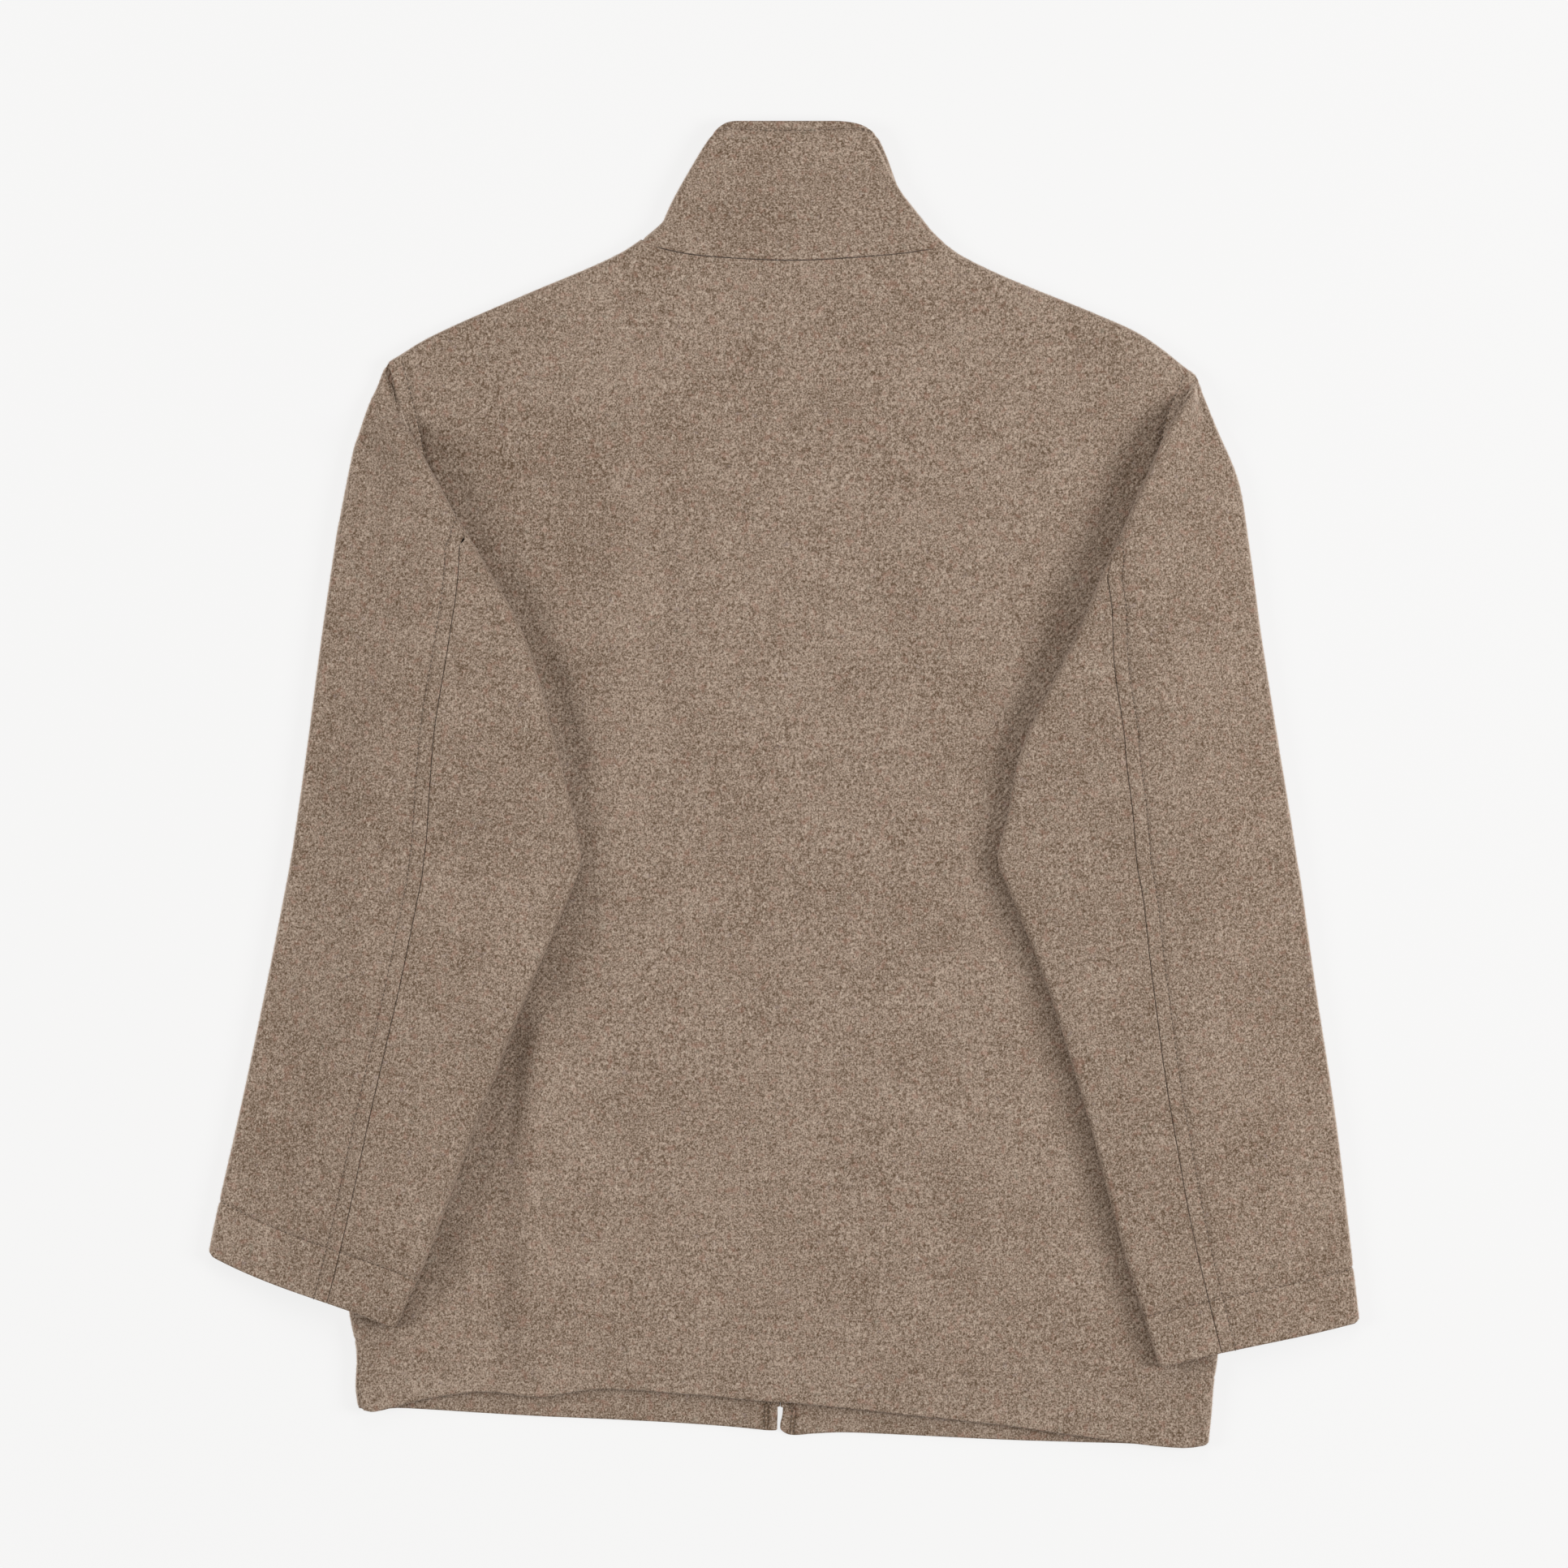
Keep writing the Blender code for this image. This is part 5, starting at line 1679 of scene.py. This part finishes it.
def fibre_shape():
    """A thin spike with three sides."""
    points = []
    for side in range(FIBRE_SIDES):
        angle = 2.0 * math.pi * side / FIBRE_SIDES
        points.append((FIBRE_HALF * math.cos(angle), FIBRE_HALF * math.sin(angle), -FIBRE_ROOT))
    points.append((0.0, 0.0, FIBRE_LONG))
    mesh = new_mesh("fibre", points, [], [(2, 1, 0), (0, 1, 3), (1, 2, 3), (2, 0, 3)])
    return bpy.data.objects.new("fibre", mesh)


def fuzz_tree():
    tree = Placing("fuzz", {
        "Cloth": "Geometry", "Density": "Float", "Shape": "Object",
        "Material": "Material", "Tilt": "Float", "Seed": "Int",
    })
    seed = tree.given("Seed")
    reach = tree.given("Tilt")
    density = tree.kept_value("fuzz", "FLOAT") * tree.given("Density")
    fed = {"Mesh": tree.given("Cloth"), "Density": density, "Seed": seed}
    points = tree.node("GeometryNodeDistributePointsOnFaces", {}, fed, "Points")
    fed = {0: points.beside("Normal"), 1: (-1.0, -1.0, FIBRE_LEAST_RISE)}
    upward = tree.node("ShaderNodeVectorMath", {"operation": "MAXIMUM"}, fed)
    stand = tree.node("FunctionNodeAlignRotationToVector", {"axis": "Z"}, {"Vector": upward})
    back_reach = reach * -1.0
    low = tree.node("ShaderNodeCombineXYZ", {}, {"X": back_reach, "Y": back_reach, "Z": -math.pi})
    high = tree.node("ShaderNodeCombineXYZ", {}, {"X": reach, "Y": reach, "Z": math.pi})
    fed = {0: low, 1: high, "Seed": seed}
    tilt = tree.node("FunctionNodeRandomValue", {"data_type": "FLOAT_VECTOR"}, fed)
    turn = tree.node("FunctionNodeEulerToRotation", {}, {"Euler": tilt})
    fed = {"Rotation": stand, "Rotate By": turn}
    tilted = tree.node("FunctionNodeRotateRotation", {"rotation_space": "LOCAL"}, fed)
    tree.place(points, tilted, tree.size(FIBRE_LEAST_SIZE))
    return tree


FUZZ = fuzz_tree()
fibre = fibre_shape()
fibre_finish, _ = mottled("loose_fibres", FIBRE_DARK, FIBRE_LIGHT, scale=900.0, Roughness=0.9)
fuzz_pieces = {}
wool_pieces = [piece for piece in CLOTH_PIECES if not piece.name.startswith("zip")]
for number, cloth in enumerate(wool_pieces):
    name = cloth.name.replace("_cloth", "")
    fuzz_pieces[name] = FUZZ.run(
        cloth, name + "_fuzz", Density=FIBRES_PER_AREA, Shape=fibre, Material=fibre_finish.material,
        Tilt=FIBRE_TILT, Seed=number,
    )

# %% [markdown]
# ## Stage and light
# The picture was lit softly from all round, with a broad lamp low on either side, so the sleeves shade
# the back beside both of their folds. A weaker lamp beyond the collar shades the fronts below the hem.
# The ground is one even pale grey. So the floor gives some light of its own, which keeps shadows on it
# faint.

# %% Floor and light
FLOOR_HALF = 6.0
FLOOR_GREY = (0.125, 0.125, 0.125, 1.0)
FLOOR_LIGHT = (1.0, 1.0, 1.0, 1.0)
FLOOR_GLOW = 0.79
WORLD_LIGHT = 0.30
SKY = (1.0, 0.905, 0.795, 1.0)
Lamp = namedtuple("Lamp", "place power size")
LAMPS = {
    "lamp_right": Lamp((3.0, -0.05, 2.09), 98.0, 1.6),
    "lamp_left": Lamp((-3.4, -0.05, 2.37), 88.0, 1.8),
    "lamp_top": Lamp((0.2, 3.4, 2.37), 38.0, 1.8),
}

corners = [(x * FLOOR_HALF, y * FLOOR_HALF, 0.0) for x, y in ((-1, -1), (1, -1), (1, 1), (-1, 1))]
floor = shown("floor", new_mesh("floor", corners, [], [(0, 1, 2, 3)]))
floor_finish = Finish(
    "pale_floor", Base_Color=FLOOR_GREY, Roughness=1.0, Specular_IOR_Level=0.0,
    Emission_Color=FLOOR_LIGHT, Emission_Strength=FLOOR_GLOW,
)
floor.data.materials.append(floor_finish.material)

world = bpy.data.worlds.new("studio")
world.use_nodes = True
sky = world.node_tree.nodes["Background"].inputs
sky["Color"].default_value = SKY
sky["Strength"].default_value = WORLD_LIGHT
bpy.context.scene.world = world
for lamp_name, given in LAMPS.items():
    lamp_data = bpy.data.lights.new(lamp_name, "AREA")
    lamp_data.energy = given.power
    lamp_data.size = given.size
    lamp = shown(lamp_name, lamp_data)
    lamp.location = given.place
    lamp.rotation_euler = (-lamp.location).to_track_quat("-Z", "Y").to_euler()
bpy.context.scene.view_settings.view_transform = "Standard"
print("lamps:", len(LAMPS))

# %% [markdown]
# ## Pieces under the root
# Every piece is now hung under the root, and the solid it stands for is hidden.

# %% Hang the pieces and hide the solids
cloth_made = {"back": back, "collar": collar}
cloth_made.update({f"front_{name}": made for name, made in fronts.items()})
cloth_made.update({f"sleeve_{name}_{half}": made for (name, half), made in sleeves.items()})
cloth_made.update({f"zip_tape_{name}": made for name, made in tapes.items()})
for node_name, made in cloth_made.items():
    slot = node_name.replace("zip_", "") if node_name.startswith("zip") else "wool_" + node_name
    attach(made.piece, "root")
    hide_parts(node_name)
    extras = [pieces[node_name] for pieces in (sewn_pieces, fuzz_pieces) if node_name in pieces]
    for extra in extras:
        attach(extra, "root")
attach(teeth, "root")
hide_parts("zip_teeth")
print("cloth pieces:", len(cloth_made))
